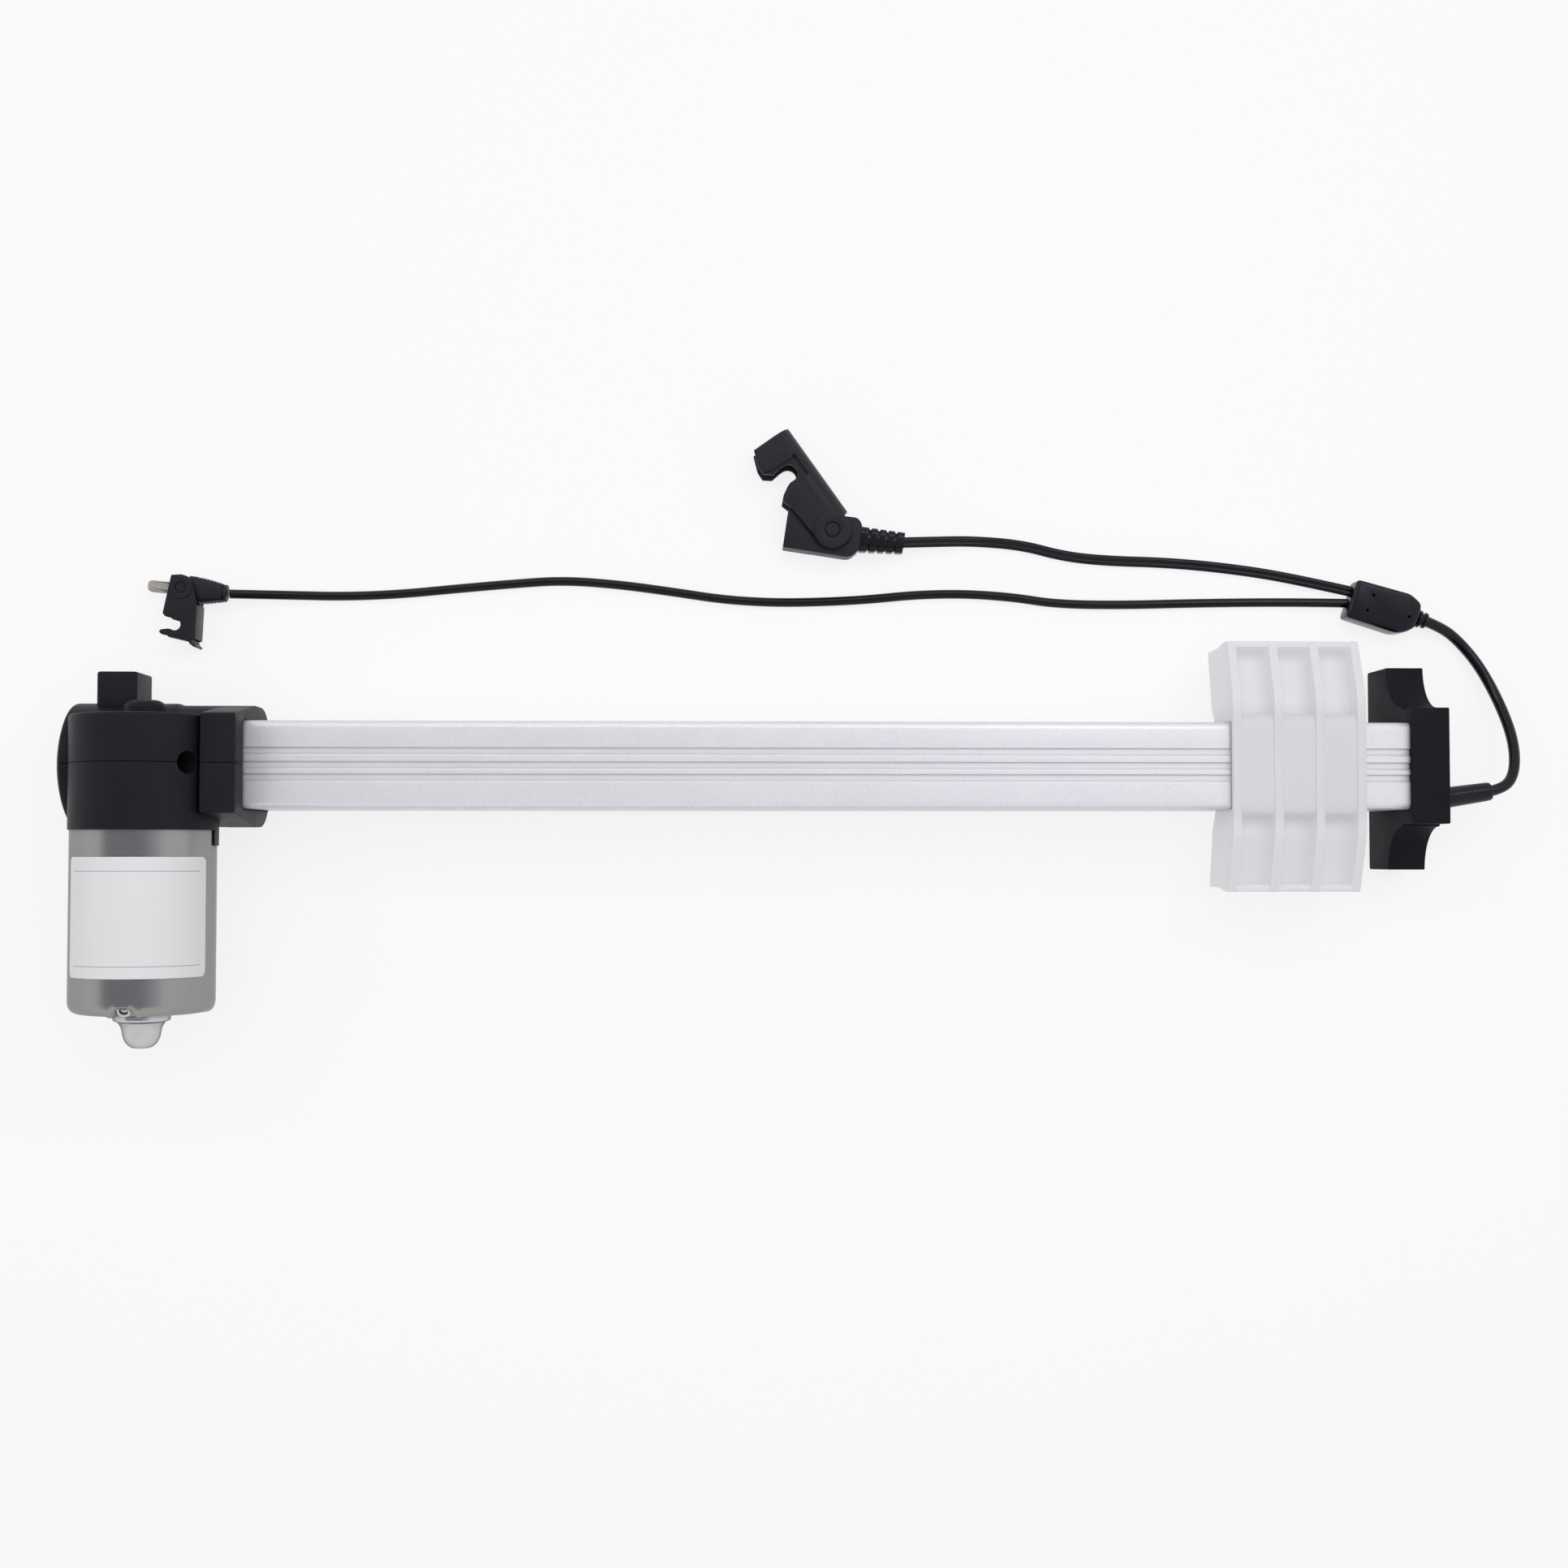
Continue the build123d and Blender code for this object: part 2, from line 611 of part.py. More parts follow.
def worm():
    """Worm at its root size, on the shaft over the wheel."""
    half = WORM_LENGTH / 2
    return ring_y(WORM_ROOT_R, SHAFT_R + SEAT_GAP, -half, half)


# Spindle


def worm_wheel():
    """Wheel with 22 teeth, and its hub against the thrust bearing."""
    half = WHEEL_FACE / 2
    wheel = cyl_x(WHEEL_TIP_R, -half, half) + cyl_x(SPINDLE_JOURNAL_R + 3.0, -half - 2.9, half)
    root_r = WHEEL_TIP_R - 2.25 * MODULE
    gap_top = math.pi * MODULE / 2 + 0.8
    gap_root = math.pi * MODULE / 2 - 0.7
    outline = [
        (-gap_root / 2, root_r),
        (gap_root / 2, root_r),
        (gap_top / 2, WHEEL_TIP_R + 0.5),
        (-gap_top / 2, WHEEL_TIP_R + 0.5),
    ]
    gap = prism_x(outline, -half, half)
    for n in range(WHEEL_TEETH):
        wheel -= Pos(0, 0, SPINDLE_Z) * Rot(360 / WHEEL_TEETH * n, 0, 0) * gap
    return wheel - cyl_x(SPINDLE_JOURNAL_R + SEAT_GAP, -half - 2.9, half)


def spindle():
    """Screw with a stepped journal at each end."""
    step = WHEEL_FACE / 2 + 2.5
    stem = cyl_x(SPINDLE_JOURNAL_R, SPINDLE_LEFT, step)
    screw = cyl_x(SPINDLE_R, step, RAIL_TO - 3.0)
    end = cyl_x(END_JOURNAL_R, RAIL_TO - 3.0, RAIL_TO + BUSH_LENGTH - 0.5)
    return stem + screw + end


def thrust_bearing():
    """Bearing that carries the spindle's push and pull."""
    to = -WHEEL_FACE / 2 - 3.0
    return ring_x(THRUST_BEARING_R, SPINDLE_JOURNAL_R + RUNNING_GAP, to - THRUST_BEARING_LENGTH, to)


def fixing_nut():
    """Hexagon nut on the spindle's left end."""
    hexagon = RegularPolygon(FIXING_NUT_R, 6, major_radius=True)
    solid = extrude(Plane.YZ.offset(SPINDLE_LEFT + 0.6) * hexagon, FIXING_NUT_LENGTH)
    bore = cyl_x(SPINDLE_JOURNAL_R + SEAT_GAP, SPINDLE_LEFT, 0, 0, 0)
    return Pos(0, 0, SPINDLE_Z) * (solid - bore)


def spindle_end_bush():
    """Bush in the end cap that holds the spindle's right end."""
    return ring_x(BUSH_R, END_JOURNAL_R + RUNNING_GAP, RAIL_TO, RAIL_TO + BUSH_LENGTH)


def end_buffers():
    """Rubber ring at each end of the travel."""
    left = ring_x(BUFFER_R, SPINDLE_R + 0.6, RAIL_FROM, RAIL_FROM + BUFFER_THICK)
    right_to = RAIL_TO - SHELL_GAP
    right = ring_x(BUFFER_R, SPINDLE_R + 0.6, right_to - BUFFER_THICK, right_to)
    return Compound([left, right])


# Rail


def rail_section():
    """Hollow rail section in (y, z) about the spindle axis."""
    outer = RectangleRounded(RAIL_WIDTH, RAIL_DEPTH, RAIL_CORNER)
    hollow = RectangleRounded(RAIL_WIDTH - 2 * RAIL_WALL, RAIL_DEPTH - 2 * RAIL_WALL, 0.8)
    section = outer - hollow
    for y in (-PORT_Y, PORT_Y):
        for z in (-PORT_Z, PORT_Z):
            section += Pos(y, z) * Circle(SCREW_PORT_R)
    for y in (-PORT_Y, PORT_Y):
        for z in (-PORT_Z, PORT_Z):
            section -= Pos(y, z) * Circle(CAP_SCREW_R + SHELL_GAP)
    section -= Pos(0, -RAIL_DEPTH / 2) * Rectangle(RAIL_SLOT, 3 * RAIL_WALL)
    first = -GROOVE_PITCH * (GROOVES - 1) / 2
    for n in range(GROOVES):
        place = Pos(first + GROOVE_PITCH * n, RAIL_DEPTH / 2)
        section -= place * Rectangle(GROOVE_WIDTH, 2 * GROOVE_DEPTH)
    return section


def rail():
    """Aluminium rail from the collar's pocket to the end cap's pocket."""
    plane = Plane.YZ.offset(RAIL_FROM)
    return Pos(0, 0, SPINDLE_Z) * extrude(plane * rail_section(), RAIL_TO - RAIL_FROM)


def limit_switch_board():
    """Circuit board along the inside of the rail's front wall."""
    x0 = RAIL_FROM + BUFFER_THICK + 4.0
    x1 = RAIL_TO - BUFFER_THICK - 4.0
    return block(x0, x1, -BOARD_HALF_WIDTH, BOARD_HALF_WIDTH, BOARD_Z - BOARD_THICK, BOARD_Z)


def limit_switches():
    """A micro switch at each end of the nut's travel."""
    top = BOARD_Z - BOARD_THICK
    pair = []
    left_to = NUT_LEFT - STROKE - SWITCH_GAP
    right_from = NUT_RIGHT + SWITCH_GAP
    for x0 in (left_to - SWITCH_LENGTH, right_from):
        x1 = x0 + SWITCH_LENGTH
        pair.append(block(x0, x1, -SWITCH_HALF_WIDTH, SWITCH_HALF_WIDTH, top - CAM_HEIGHT, top))
    return Compound(pair)


def motor_leads():
    """Two wires along the rail's side wall."""
    y = RAIL_HALF - RAIL_WALL - LEAD_R - LEAD_STANDOFF
    x0 = RAIL_FROM + BUFFER_THICK
    x1 = RAIL_TO - BUFFER_THICK
    half = LEAD_SPACING / 2
    return Compound([cyl_x(LEAD_R, x0, x1, y, SPINDLE_Z + s) for s in (-half, half)])


# Nut and slider


def drive_nut():
    """Nut in the rail, with a neck through the slot and a cam for the switches."""
    body = block(NUT_LEFT, NUT_RIGHT, -NUT_HALF_WIDTH, NUT_HALF_WIDTH, NUT_BACK_Z, NUT_FRONT_Z)
    body = chamfer(body.edges().filter_by(Axis.X), 1.5)
    neck_half = RAIL_SLOT / 2 - NECK_GAP
    body += block(NUT_LEFT, NUT_RIGHT, -neck_half, neck_half, BRIDGE_TOP_Z, NUT_BACK_Z)
    cam_top = BOARD_Z - BOARD_THICK - SLIDE_GAP
    body += block(NUT_LEFT, NUT_RIGHT, -CAM_HALF_WIDTH, CAM_HALF_WIDTH, NUT_FRONT_Z, cam_top)
    body -= cyl_x(SPINDLE_R + THREAD_RUNNING_GAP, NUT_LEFT, NUT_RIGHT)
    for x in (SLIDER_MID - SLIDER_SCREW_X, SLIDER_MID + SLIDER_SCREW_X):
        body -= cyl_z(SCREW_R, BRIDGE_TOP_Z, NUT_BACK_Z + 3.0, x, 0)
    return body


def slider_screws():
    """Two screws that hold the slider's bridge to the nut's neck."""
    pair = []
    for x in (SLIDER_MID - SLIDER_SCREW_X, SLIDER_MID + SLIDER_SCREW_X):
        stem = cyl_z(SCREW_R - SEAT_GAP, BRIDGE_BACK_Z + 2.5, NUT_BACK_Z + 2.0, x, 0)
        head = cyl_z(SCREW_HEAD_R, BRIDGE_BACK_Z + 0.3, BRIDGE_BACK_Z + 2.5, x, 0)
        drive = cyl_z(SCREW_R * 0.7, BRIDGE_BACK_Z, BRIDGE_BACK_Z + 1.6, x, 0)
        pair.append(stem + head - drive)
    return Compound(pair)


def wing_front_z(y):
    """Front level of the wing ribs at a distance y from the middle."""
    slope = (TIP_FRONT_Z - PLATEAU_Z) / (SLIDER_HALF_SPAN - PLATEAU_HALF)
    return PLATEAU_Z + slope * max(0.0, y - PLATEAU_HALF)


def wing_back_z(y):
    """Back level of the wing at a distance y from the middle."""
    slope = (TIP_BACK_Z - WING_ROOT_BACK_Z) / (SLIDER_HALF_SPAN - CHANNEL_OUTER)
    return WING_ROOT_BACK_Z + slope * (y - CHANNEL_OUTER)


def wing_pocket(side, x0, x1):
    """Front and back pocket of one bay of a wing, which leave the web between them."""
    y0 = CHANNEL_OUTER
    y1 = SLIDER_HALF_SPAN
    floor0 = wing_front_z(y0) - POCKET_DEPTH
    floor1 = wing_front_z(y1) - POCKET_DEPTH
    front = [(y0, floor0), (y1, floor1), (y1, PLATEAU_Z + 1), (y0, PLATEAU_Z + 1)]
    inner = y1 - TIP_WALL
    under = [
        (y0 + TIP_WALL, floor0 - WEB_THICK),
        (inner, wing_front_z(inner) - POCKET_DEPTH - WEB_THICK),
        (inner, wing_back_z(inner) - 5),
        (y0 + TIP_WALL, wing_back_z(y0) - 5),
    ]
    cut = prism_x(front, x0, x1) + prism_x(under, x0, x1)
    return cut if side > 0 else mirror(cut, Plane.XZ)


def slider_outline():
    """Outside of the slider in (y, z)."""
    return mirrored([
        (PLATEAU_HALF, PLATEAU_Z),
        (SLIDER_HALF_SPAN, TIP_FRONT_Z),
        (SLIDER_HALF_SPAN, TIP_BACK_Z),
        (CHANNEL_OUTER, WING_ROOT_BACK_Z),
        (CHANNEL_OUTER, BRIDGE_BACK_Z),
    ])


def slider_block():
    """Ribbed slider round the rail, with a bridge behind it and wings at both sides."""
    whole = prism_x(slider_outline(), SLIDER_LEFT, SLIDER_RIGHT)
    tips = whole.edges().filter_by(Axis.X).group_by(SortBy.LENGTH)[-1]
    tips = [e for e in tips if abs(abs(e.center().Y) - SLIDER_HALF_SPAN) < 0.1]
    whole = fillet(tips, 1.2)
    front = RAIL_FRONT_Z + SLIDE_GAP
    whole -= block(SLIDER_LEFT, SLIDER_RIGHT, -CHANNEL_HALF, CHANNEL_HALF, BRIDGE_TOP_Z, front)
    sunk = PLATEAU_Z - CHANNEL_SINK
    for bay in range(BAYS):
        x0 = SLIDER_LEFT + RIB + BAY_PITCH * bay
        x1 = SLIDER_LEFT + BAY_PITCH * (bay + 1)
        for side in (-1, 1):
            whole -= wing_pocket(side, x0, x1)
        whole -= block(x0, x1, -CHANNEL_OUTER, CHANNEL_OUTER, sunk, PLATEAU_Z + 1)
        for side in (-1, 1):
            corner = Pos(0, side * (CHANNEL_OUTER - CHANNEL_CORNER / 2), sunk - CHANNEL_CORNER / 2)
            square = Box(x1 - x0, CHANNEL_CORNER, CHANNEL_CORNER)
            round_y = side * (CHANNEL_OUTER - CHANNEL_CORNER)
            rounding = cyl_x(CHANNEL_CORNER, x0, x1, round_y, sunk - CHANNEL_CORNER)
            whole -= Pos((x0 + x1) / 2, 0, 0) * corner * square - rounding
    for x in (SLIDER_MID - BAY_PITCH, SLIDER_MID + BAY_PITCH):
        for side in (-1, 1):
            back = wing_back_z(STUD_Y)
            web = wing_front_z(STUD_Y) - POCKET_DEPTH - 1.0
            boss = cyl_z(STUD_BOSS_R, back, web, x, side * STUD_Y)
            hole = cyl_z(STUD_HOLE_R, back, back + STUD_HOLE_DEPTH, x, side * STUD_Y)
            whole = whole + boss - hole
    for x in (SLIDER_MID - SLIDER_SCREW_X, SLIDER_MID + SLIDER_SCREW_X):
        whole -= cyl_z(SCREW_R + SEAT_GAP, BRIDGE_BACK_Z, BRIDGE_TOP_Z, x, 0)
        whole -= cyl_z(SCREW_HEAD_R + SEAT_GAP, BRIDGE_BACK_Z, BRIDGE_BACK_Z + 2.5, x, 0)
    return whole


# End cap


def cap_outline():
    """Half outline of the cap in (y, z), with the scoop between block and tip."""
    centre_y = CAP_TIP_HALF
    centre_z = CAP_TIP_Z + CAP_SCOOP_R
    first = math.degrees(math.acos(min(1.0, (centre_y - CAP_BLOCK_HALF - 0.8) / CAP_SCOOP_R)))
    scoop = []
    for n in range(9):
        angle = math.radians(first + (90 - first) * n / 8)
        scoop.append((
            centre_y - CAP_SCOOP_R * math.cos(angle),
            centre_z - CAP_SCOOP_R * math.sin(angle),
        ))
    front = RAIL_FRONT_Z + CAP_FRONT_RISE
    return [(CAP_BLOCK_HALF, front), (CAP_BLOCK_HALF, scoop[0][1] + 0.4)] + scoop + [(CAP_TIP_HALF, 0.0)]


def end_cap():
    """Cap on the rail's end with two scooped wings."""
    cap = prism_x(mirrored(cap_outline()), CAP_LEFT, CAP_RIGHT)
    half = RAIL_HALF + SHELL_GAP
    back = RAIL_BACK_Z - SHELL_GAP
    front = RAIL_FRONT_Z + SHELL_GAP
    pocket = block(CAP_LEFT, RAIL_TO, -half, half, back, front)
    cap -= fillet(pocket.edges().filter_by(Axis.X), RAIL_CORNER)
    cap -= cyl_x(BUSH_R + SEAT_GAP, RAIL_TO, RAIL_TO + BUSH_LENGTH)
    for y in (-PORT_Y, PORT_Y):
        for z in (-PORT_Z, PORT_Z):
            cap -= cyl_x(CAP_SCREW_R + SHELL_GAP, RAIL_TO, CAP_RIGHT, y, SPINDLE_Z + z)
            cap -= cyl_x(2 * CAP_SCREW_R + 0.1, CAP_RIGHT - 2.0, CAP_RIGHT, y, SPINDLE_Z + z)
    return cap


def end_cap_screws():
    """Four screws through the cap into the rail's screw ports."""
    screws = []
    for y in (-PORT_Y, PORT_Y):
        for z in (-PORT_Z, PORT_Z):
            stem = cyl_x(CAP_SCREW_R, CAP_RIGHT - CAP_SCREW_LENGTH, CAP_RIGHT - 2.0, y, SPINDLE_Z + z)
            head = cyl_x(2 * CAP_SCREW_R, CAP_RIGHT - 2.0, CAP_RIGHT - 0.2, y, SPINDLE_Z + z)
            drive = cyl_x(CAP_SCREW_R * 0.7, CAP_RIGHT - 1.2, CAP_RIGHT, y, SPINDLE_Z + z)
            screws.append(stem + head - drive)
    return Compound(screws)


def cable_boot():
    """Tapered strain relief that leans away from the cap's face."""
    turn = Pos(CAP_RIGHT, BOOT_Y, BOOT_Z) * Rot(0, 0, BOOT_TILT) * Rot(0, 90, 0)
    extra = 2.0
    rate = (BOOT_ROOT_R - BOOT_TIP_R) / BOOT_LENGTH
    cone = Cone(BOOT_ROOT_R + rate * extra, BOOT_TIP_R, BOOT_LENGTH + extra)
    cone = fillet(cone.edges().sort_by(Axis.Z)[-1], 0.8)
    cone = turn * Pos(0, 0, (BOOT_LENGTH - extra) / 2) * cone
    reach = BOOT_LENGTH * 2
    beyond = block(CAP_RIGHT, CAP_RIGHT + reach, BOOT_Y - reach, BOOT_Y + reach, 0, BOOT_Z + reach)
    return cone & beyond


# Cords


def cord(name, points, radius):
    """Tube along straight runs joined by arcs, each arc as large as its runs allow."""
    ends = [Vector(*p) for p in points]
    runs = [b - a for a, b in zip(ends, ends[1:])]
    radii = []
    for before, after in zip(runs, runs[1:]):
        half_turn = math.radians(before.get_angle(after)) / 2
        radii.append(0.45 * min(before.length, after.length) / math.tan(half_turn))
    path = FilletPolyline(*ends, radius=radii)
    start = Plane(origin=ends[0], z_dir=runs[0])
    tube = sweep(start * Circle(radius), path=path, transition=Transition.RIGHT)
    print(name, "length", round(path.length, 1), "least radius", round(min(radii), 1))
    print(name, "volume over section times length", tube.volume / (math.pi * radius**2 * path.length))
    print(name, "radii", [round(r) for r in radii])
    return tube


def splitter():
    """Moulded splitter where one cable becomes two leads, with a ringed nozzle."""
    body = prism_z(SPLITTER_OUTLINE, 0, SPLITTER_HEIGHT)
    upright = body.edges().filter_by(Axis.Z)
    body = fillet(upright, 1.2)
    rims = [f for f in body.faces().filter_by(Axis.Z)]
    body = fillet([e for f in rims for e in f.edges()], 1.0)
    start = Vector(*NOZZLE_FROM, SPLITTER_HEIGHT / 2)
    finish = Vector(*NOZZLE_TO, SPLITTER_HEIGHT / 2)
    along = finish - start
    length = along.length
    place = Plane(origin=start, z_dir=along)
    nozzle = place * Pos(0, 0, length / 2) * Cylinder(NOZZLE_R, length)
    for n in range(NOZZLE_RINGS):
        at = length - 1.3 - 1.9 * n
        groove = Cylinder(NOZZLE_R + 1, 0.7) - Cylinder(NOZZLE_R - 0.7, 0.7)
        nozzle -= place * Pos(0, 0, at) * groove
    return body + nozzle


# Socket connector


def in_socket(shape):
    """From the socket's own frame to its place on the table."""
    return Pos(SOCKET_PIVOT[0], SOCKET_PIVOT[1], 0) * Rot(0, 0, SOCKET_TURN) * shape


def socket_body():
    """Body with a mouth for the mating plug and a pin on each side for the latch."""
    z0, z1 = SOCKET_BODY_Z
    outline = [
        (SOCKET_MOUTH_U, SOCKET_BOTTOM_V + 0.6),
        (SOCKET_MOUTH_U, SOCKET_TOP_V),
        (SOCKET_BACK_U + 3.0, SOCKET_TOP_V),
        (SOCKET_BACK_U, SOCKET_TOP_V - 3.4),
        (SOCKET_BACK_U, SOCKET_BOTTOM_V + 2.6),
        (SOCKET_BACK_U + 2.0, SOCKET_BOTTOM_V),
    ]
    body = prism_z(outline, z0, z1)
    body = fillet(body.edges().filter_by(Axis.Z).group_by(Axis.X)[0], 0.8)
    depth = SOCKET_MOUTH_U - SOCKET_CAVITY_DEPTH
    wall = SOCKET_WALL
    v0 = SOCKET_BOTTOM_V + 0.6 + wall
    body -= block(depth, SOCKET_MOUTH_U, v0, SOCKET_TOP_V - wall, z0 + wall, z1 - wall)
    for v in contact_places():
        middle = (z0 + z1) / 2
        body -= cyl_x(CONTACT_R + SEAT_GAP, depth - CONTACT_LENGTH, depth, v, middle)
    pin_top = z1 + LATCH_GAP + LATCH_PLATE
    return body + cyl_z(SOCKET_PIN_R, z0 - LATCH_GAP - LATCH_PLATE, pin_top, 0, 0)


def contact_places():
    """Heights of the two contacts across the socket."""
    middle = (SOCKET_TOP_V + SOCKET_BOTTOM_V + 0.6) / 2
    return [middle - CONTACT_PITCH / 2, middle + CONTACT_PITCH / 2]


def socket_contacts():
    """Two sleeve contacts in the socket's core."""
    depth = SOCKET_MOUTH_U - SOCKET_CAVITY_DEPTH
    middle = sum(SOCKET_BODY_Z) / 2
    pair = []
    for v in contact_places():
        sleeve = cyl_x(CONTACT_R, depth - CONTACT_LENGTH, depth, v, middle)
        sleeve -= cyl_x(CONTACT_R * 0.6, depth - CONTACT_LENGTH + 1, depth, v, middle)
        pair.append(sleeve)
    return Compound(pair)


def socket_strain_relief():
    """Ribbed tapered relief behind the socket."""
    middle = sum(SOCKET_BODY_Z) / 2
    root = Plane.YZ * RectangleRounded(*RELIEF_ROOT, 2.2)
    tip = Plane.YZ.offset(-RELIEF_LENGTH) * RectangleRounded(*RELIEF_TIP, 2.2)
    solid = loft([root, tip])
    pitch = RELIEF_LENGTH / RELIEF_RIBS
    for n in range(1, RELIEF_RIBS):
        share = n / RELIEF_RIBS
        width = RELIEF_ROOT[0] + (RELIEF_TIP[0] - RELIEF_ROOT[0]) * share
        height = RELIEF_ROOT[1] + (RELIEF_TIP[1] - RELIEF_ROOT[1]) * share
        inner = RectangleRounded(width - 2 * RELIEF_GROOVE, height - 2 * RELIEF_GROOVE, 1.4)
        outer = Rectangle(2 * width, 2 * height)
        solid -= extrude(Plane.YZ.offset(-pitch * n) * (outer - inner), 0.5 * pitch, both=True) & block(
            -pitch * n - 0.28 * pitch, -pitch * n + 0.28 * pitch, -width, width, -height, height
        )
    return Pos(SOCKET_BACK_U, 1.6, middle) * solid


def latch_plate(z0, z1):
    """One side of the socket latch: pivot boss, arm, hook notch and head."""
    outline = [
        (0.0, -LATCH_BOSS_R),
        (16.3, -7.9),
        (19.5, -8.8),
        (20.8, -7.5),
        (22.6, -4.4),
        (HOOK_CENTRE[0], HOOK_CENTRE[1] - 3.5),
        (29.4, -6.2),
        (31.6, -9.0),
        (35.0, -8.9),
        (LATCH_TIP_U, -6.6),
        (LATCH_TIP_U, LATCH_SPINE_V),
        (LATCH_SPINE_FROM, LATCH_SPINE_V),
        (0.0, LATCH_BOSS_R),
    ]
    plate = prism_z(outline, z0, z1) + cyl_z(LATCH_BOSS_R, z0, z1, 0, 0)
    plate -= cyl_z(HOOK_R, z0, z1, *HOOK_CENTRE)
    cut = Pos(HOOK_CENTRE[0] - 0.4, HOOK_CENTRE[1] - 4, (z0 + z1) / 2) * Box(5.2, 8, z1 - z0)
    return plate - cut - cyl_z(SOCKET_PIN_R + RUNNING_GAP, z0, z1, 0, 0)


def socket_latch():
    """Hook latch: two plates joined by a spine, swung open from the socket."""
    z0, z1 = SOCKET_BODY_Z
    low = latch_plate(z0 - LATCH_GAP - LATCH_PLATE, z0 - LATCH_GAP)
    high = latch_plate(z1 + LATCH_GAP, z1 + LATCH_GAP + LATCH_PLATE)
    bottom = z0 - LATCH_GAP - LATCH_PLATE
    top = z1 + LATCH_GAP + LATCH_PLATE
    inner = LATCH_SPINE_V - LATCH_SPINE_THICK
    spine = block(LATCH_SPINE_FROM, LATCH_TIP_U, inner, LATCH_SPINE_V, bottom, top)
    whole = low + high + spine
    rims = whole.edges().filter_by(Axis.X).group_by(Axis.Y)[-1]
    whole = fillet(rims, 1.2)
    return Rot(0, 0, -LATCH_OPEN) * mirror(whole, Plane.XZ)


# Plug connector


def in_plug(shape):
    """From the plug's own frame to its place on the table."""
    return Pos(PLUG_PIVOT[0], PLUG_PIVOT[1], 0) * Rot(0, 0, PLUG_TURN) * shape


def plug_body():
    """Tapered grip with a tongue that carries the latch pins and the insert."""
    z0, z1 = PLUG_BODY_Z
    middle = (z0 + z1) / 2
    outline = [
        (PLUG_BODY_TO, -PLUG_BODY_FRONT_HALF),
        (PLUG_BODY_TO, PLUG_BODY_FRONT_HALF),
        (PLUG_BODY_FROM, PLUG_BODY_BACK_HALF),
        (PLUG_BODY_FROM, -PLUG_BODY_BACK_HALF),
    ]
    body = prism_z(outline, z0, z1)
    body = fillet(body.edges().filter_by(Axis.Z), 0.8)
    pitch = 2.0
    for n in range(PLUG_GRIPS):
        u = PLUG_BODY_FROM + 3.0 + pitch * n
        for z in (z0, z1):
            body -= Pos(u, 0, z) * Box(0.8, 2 * PLUG_BODY_FRONT_HALF, 0.8)
    tongue = block(PLUG_BODY_TO - 1, 3.6, -PLUG_TONGUE_HALF, PLUG_TONGUE_HALF, z0 + 1.9, z1 - 1.9)
    pins = cyl_z(PLUG_PIN_R, 0.2, 2 * middle - 0.2, 0, 0)
    ring = cyl_x(PLUG_BODY_BACK_HALF + 0.1, PLUG_BODY_FROM - 1.4, PLUG_BODY_FROM, 0, middle)
    return body + tongue + pins + ring


def plug_insert():
    """Pale insert that enters the mating socket."""
    z0, z1 = PLUG_BODY_Z
    body = block(3.6, PLUG_TIP_U, -PLUG_TIP_HALF_V, PLUG_TIP_HALF_V, z0 + 2.1, z1 - 2.1)
    body = fillet(body.faces().sort_by(Axis.X)[-1].edges(), 0.6)
    middle = (z0 + z1) / 2
    for v in (-1.1, 1.1):
        body -= cyl_x(0.7, 5.6, PLUG_TIP_U, v, middle)
    return body


def plug_contacts():
    """Two pin contacts inside the insert."""
    middle = sum(PLUG_BODY_Z) / 2
    return Compound([cyl_x(0.5, 5.6, PLUG_TIP_U - 1.0, v, middle) for v in (-1.1, 1.1)])


def plug_latch():
    """Hook latch of the plug, hanging open: two plates joined by a back flange."""
    z0, z1 = PLUG_BODY_Z
    middle = (z0 + z1) / 2
    outline = [
        (-3.6, 4.7),
        (0.2, 4.7),
        (4.2, 1.6),
        (5.9, -5.4),
        (6.7, -6.9),
        (4.9, -19.0),
        (4.6, -22.4),
        (1.8, -19.3),
        (-7.0, -17.2),
        (-7.9, -16.3),
        (-7.3, -15.4),
        (-4.2, -15.1),
        (-1.8, -15.7),
        (-1.6, -11.9),
        (-5.7, -10.6),
        (-6.6, -9.4),
    ]
    plates = prism_z(outline, 0.2, 1.4) + prism_z(outline, 2 * middle - 1.4, 2 * middle - 0.2)
    flange = prism_z([(6.7, -6.9), (4.9, -19.0), (3.1, -18.7), (4.9, -6.9)], 0.2, 2 * middle - 0.2)
    whole = plates + flange
    whole -= cyl_z(PLUG_PIN_R + RUNNING_GAP, 0, 2 * middle, 0, 0)
    whole -= cyl_z(2.2, 0, 2 * middle, -2.4, -13.6)
    return Pos(PLUG_PIVOT[0], PLUG_PIVOT[1], 0) * whole


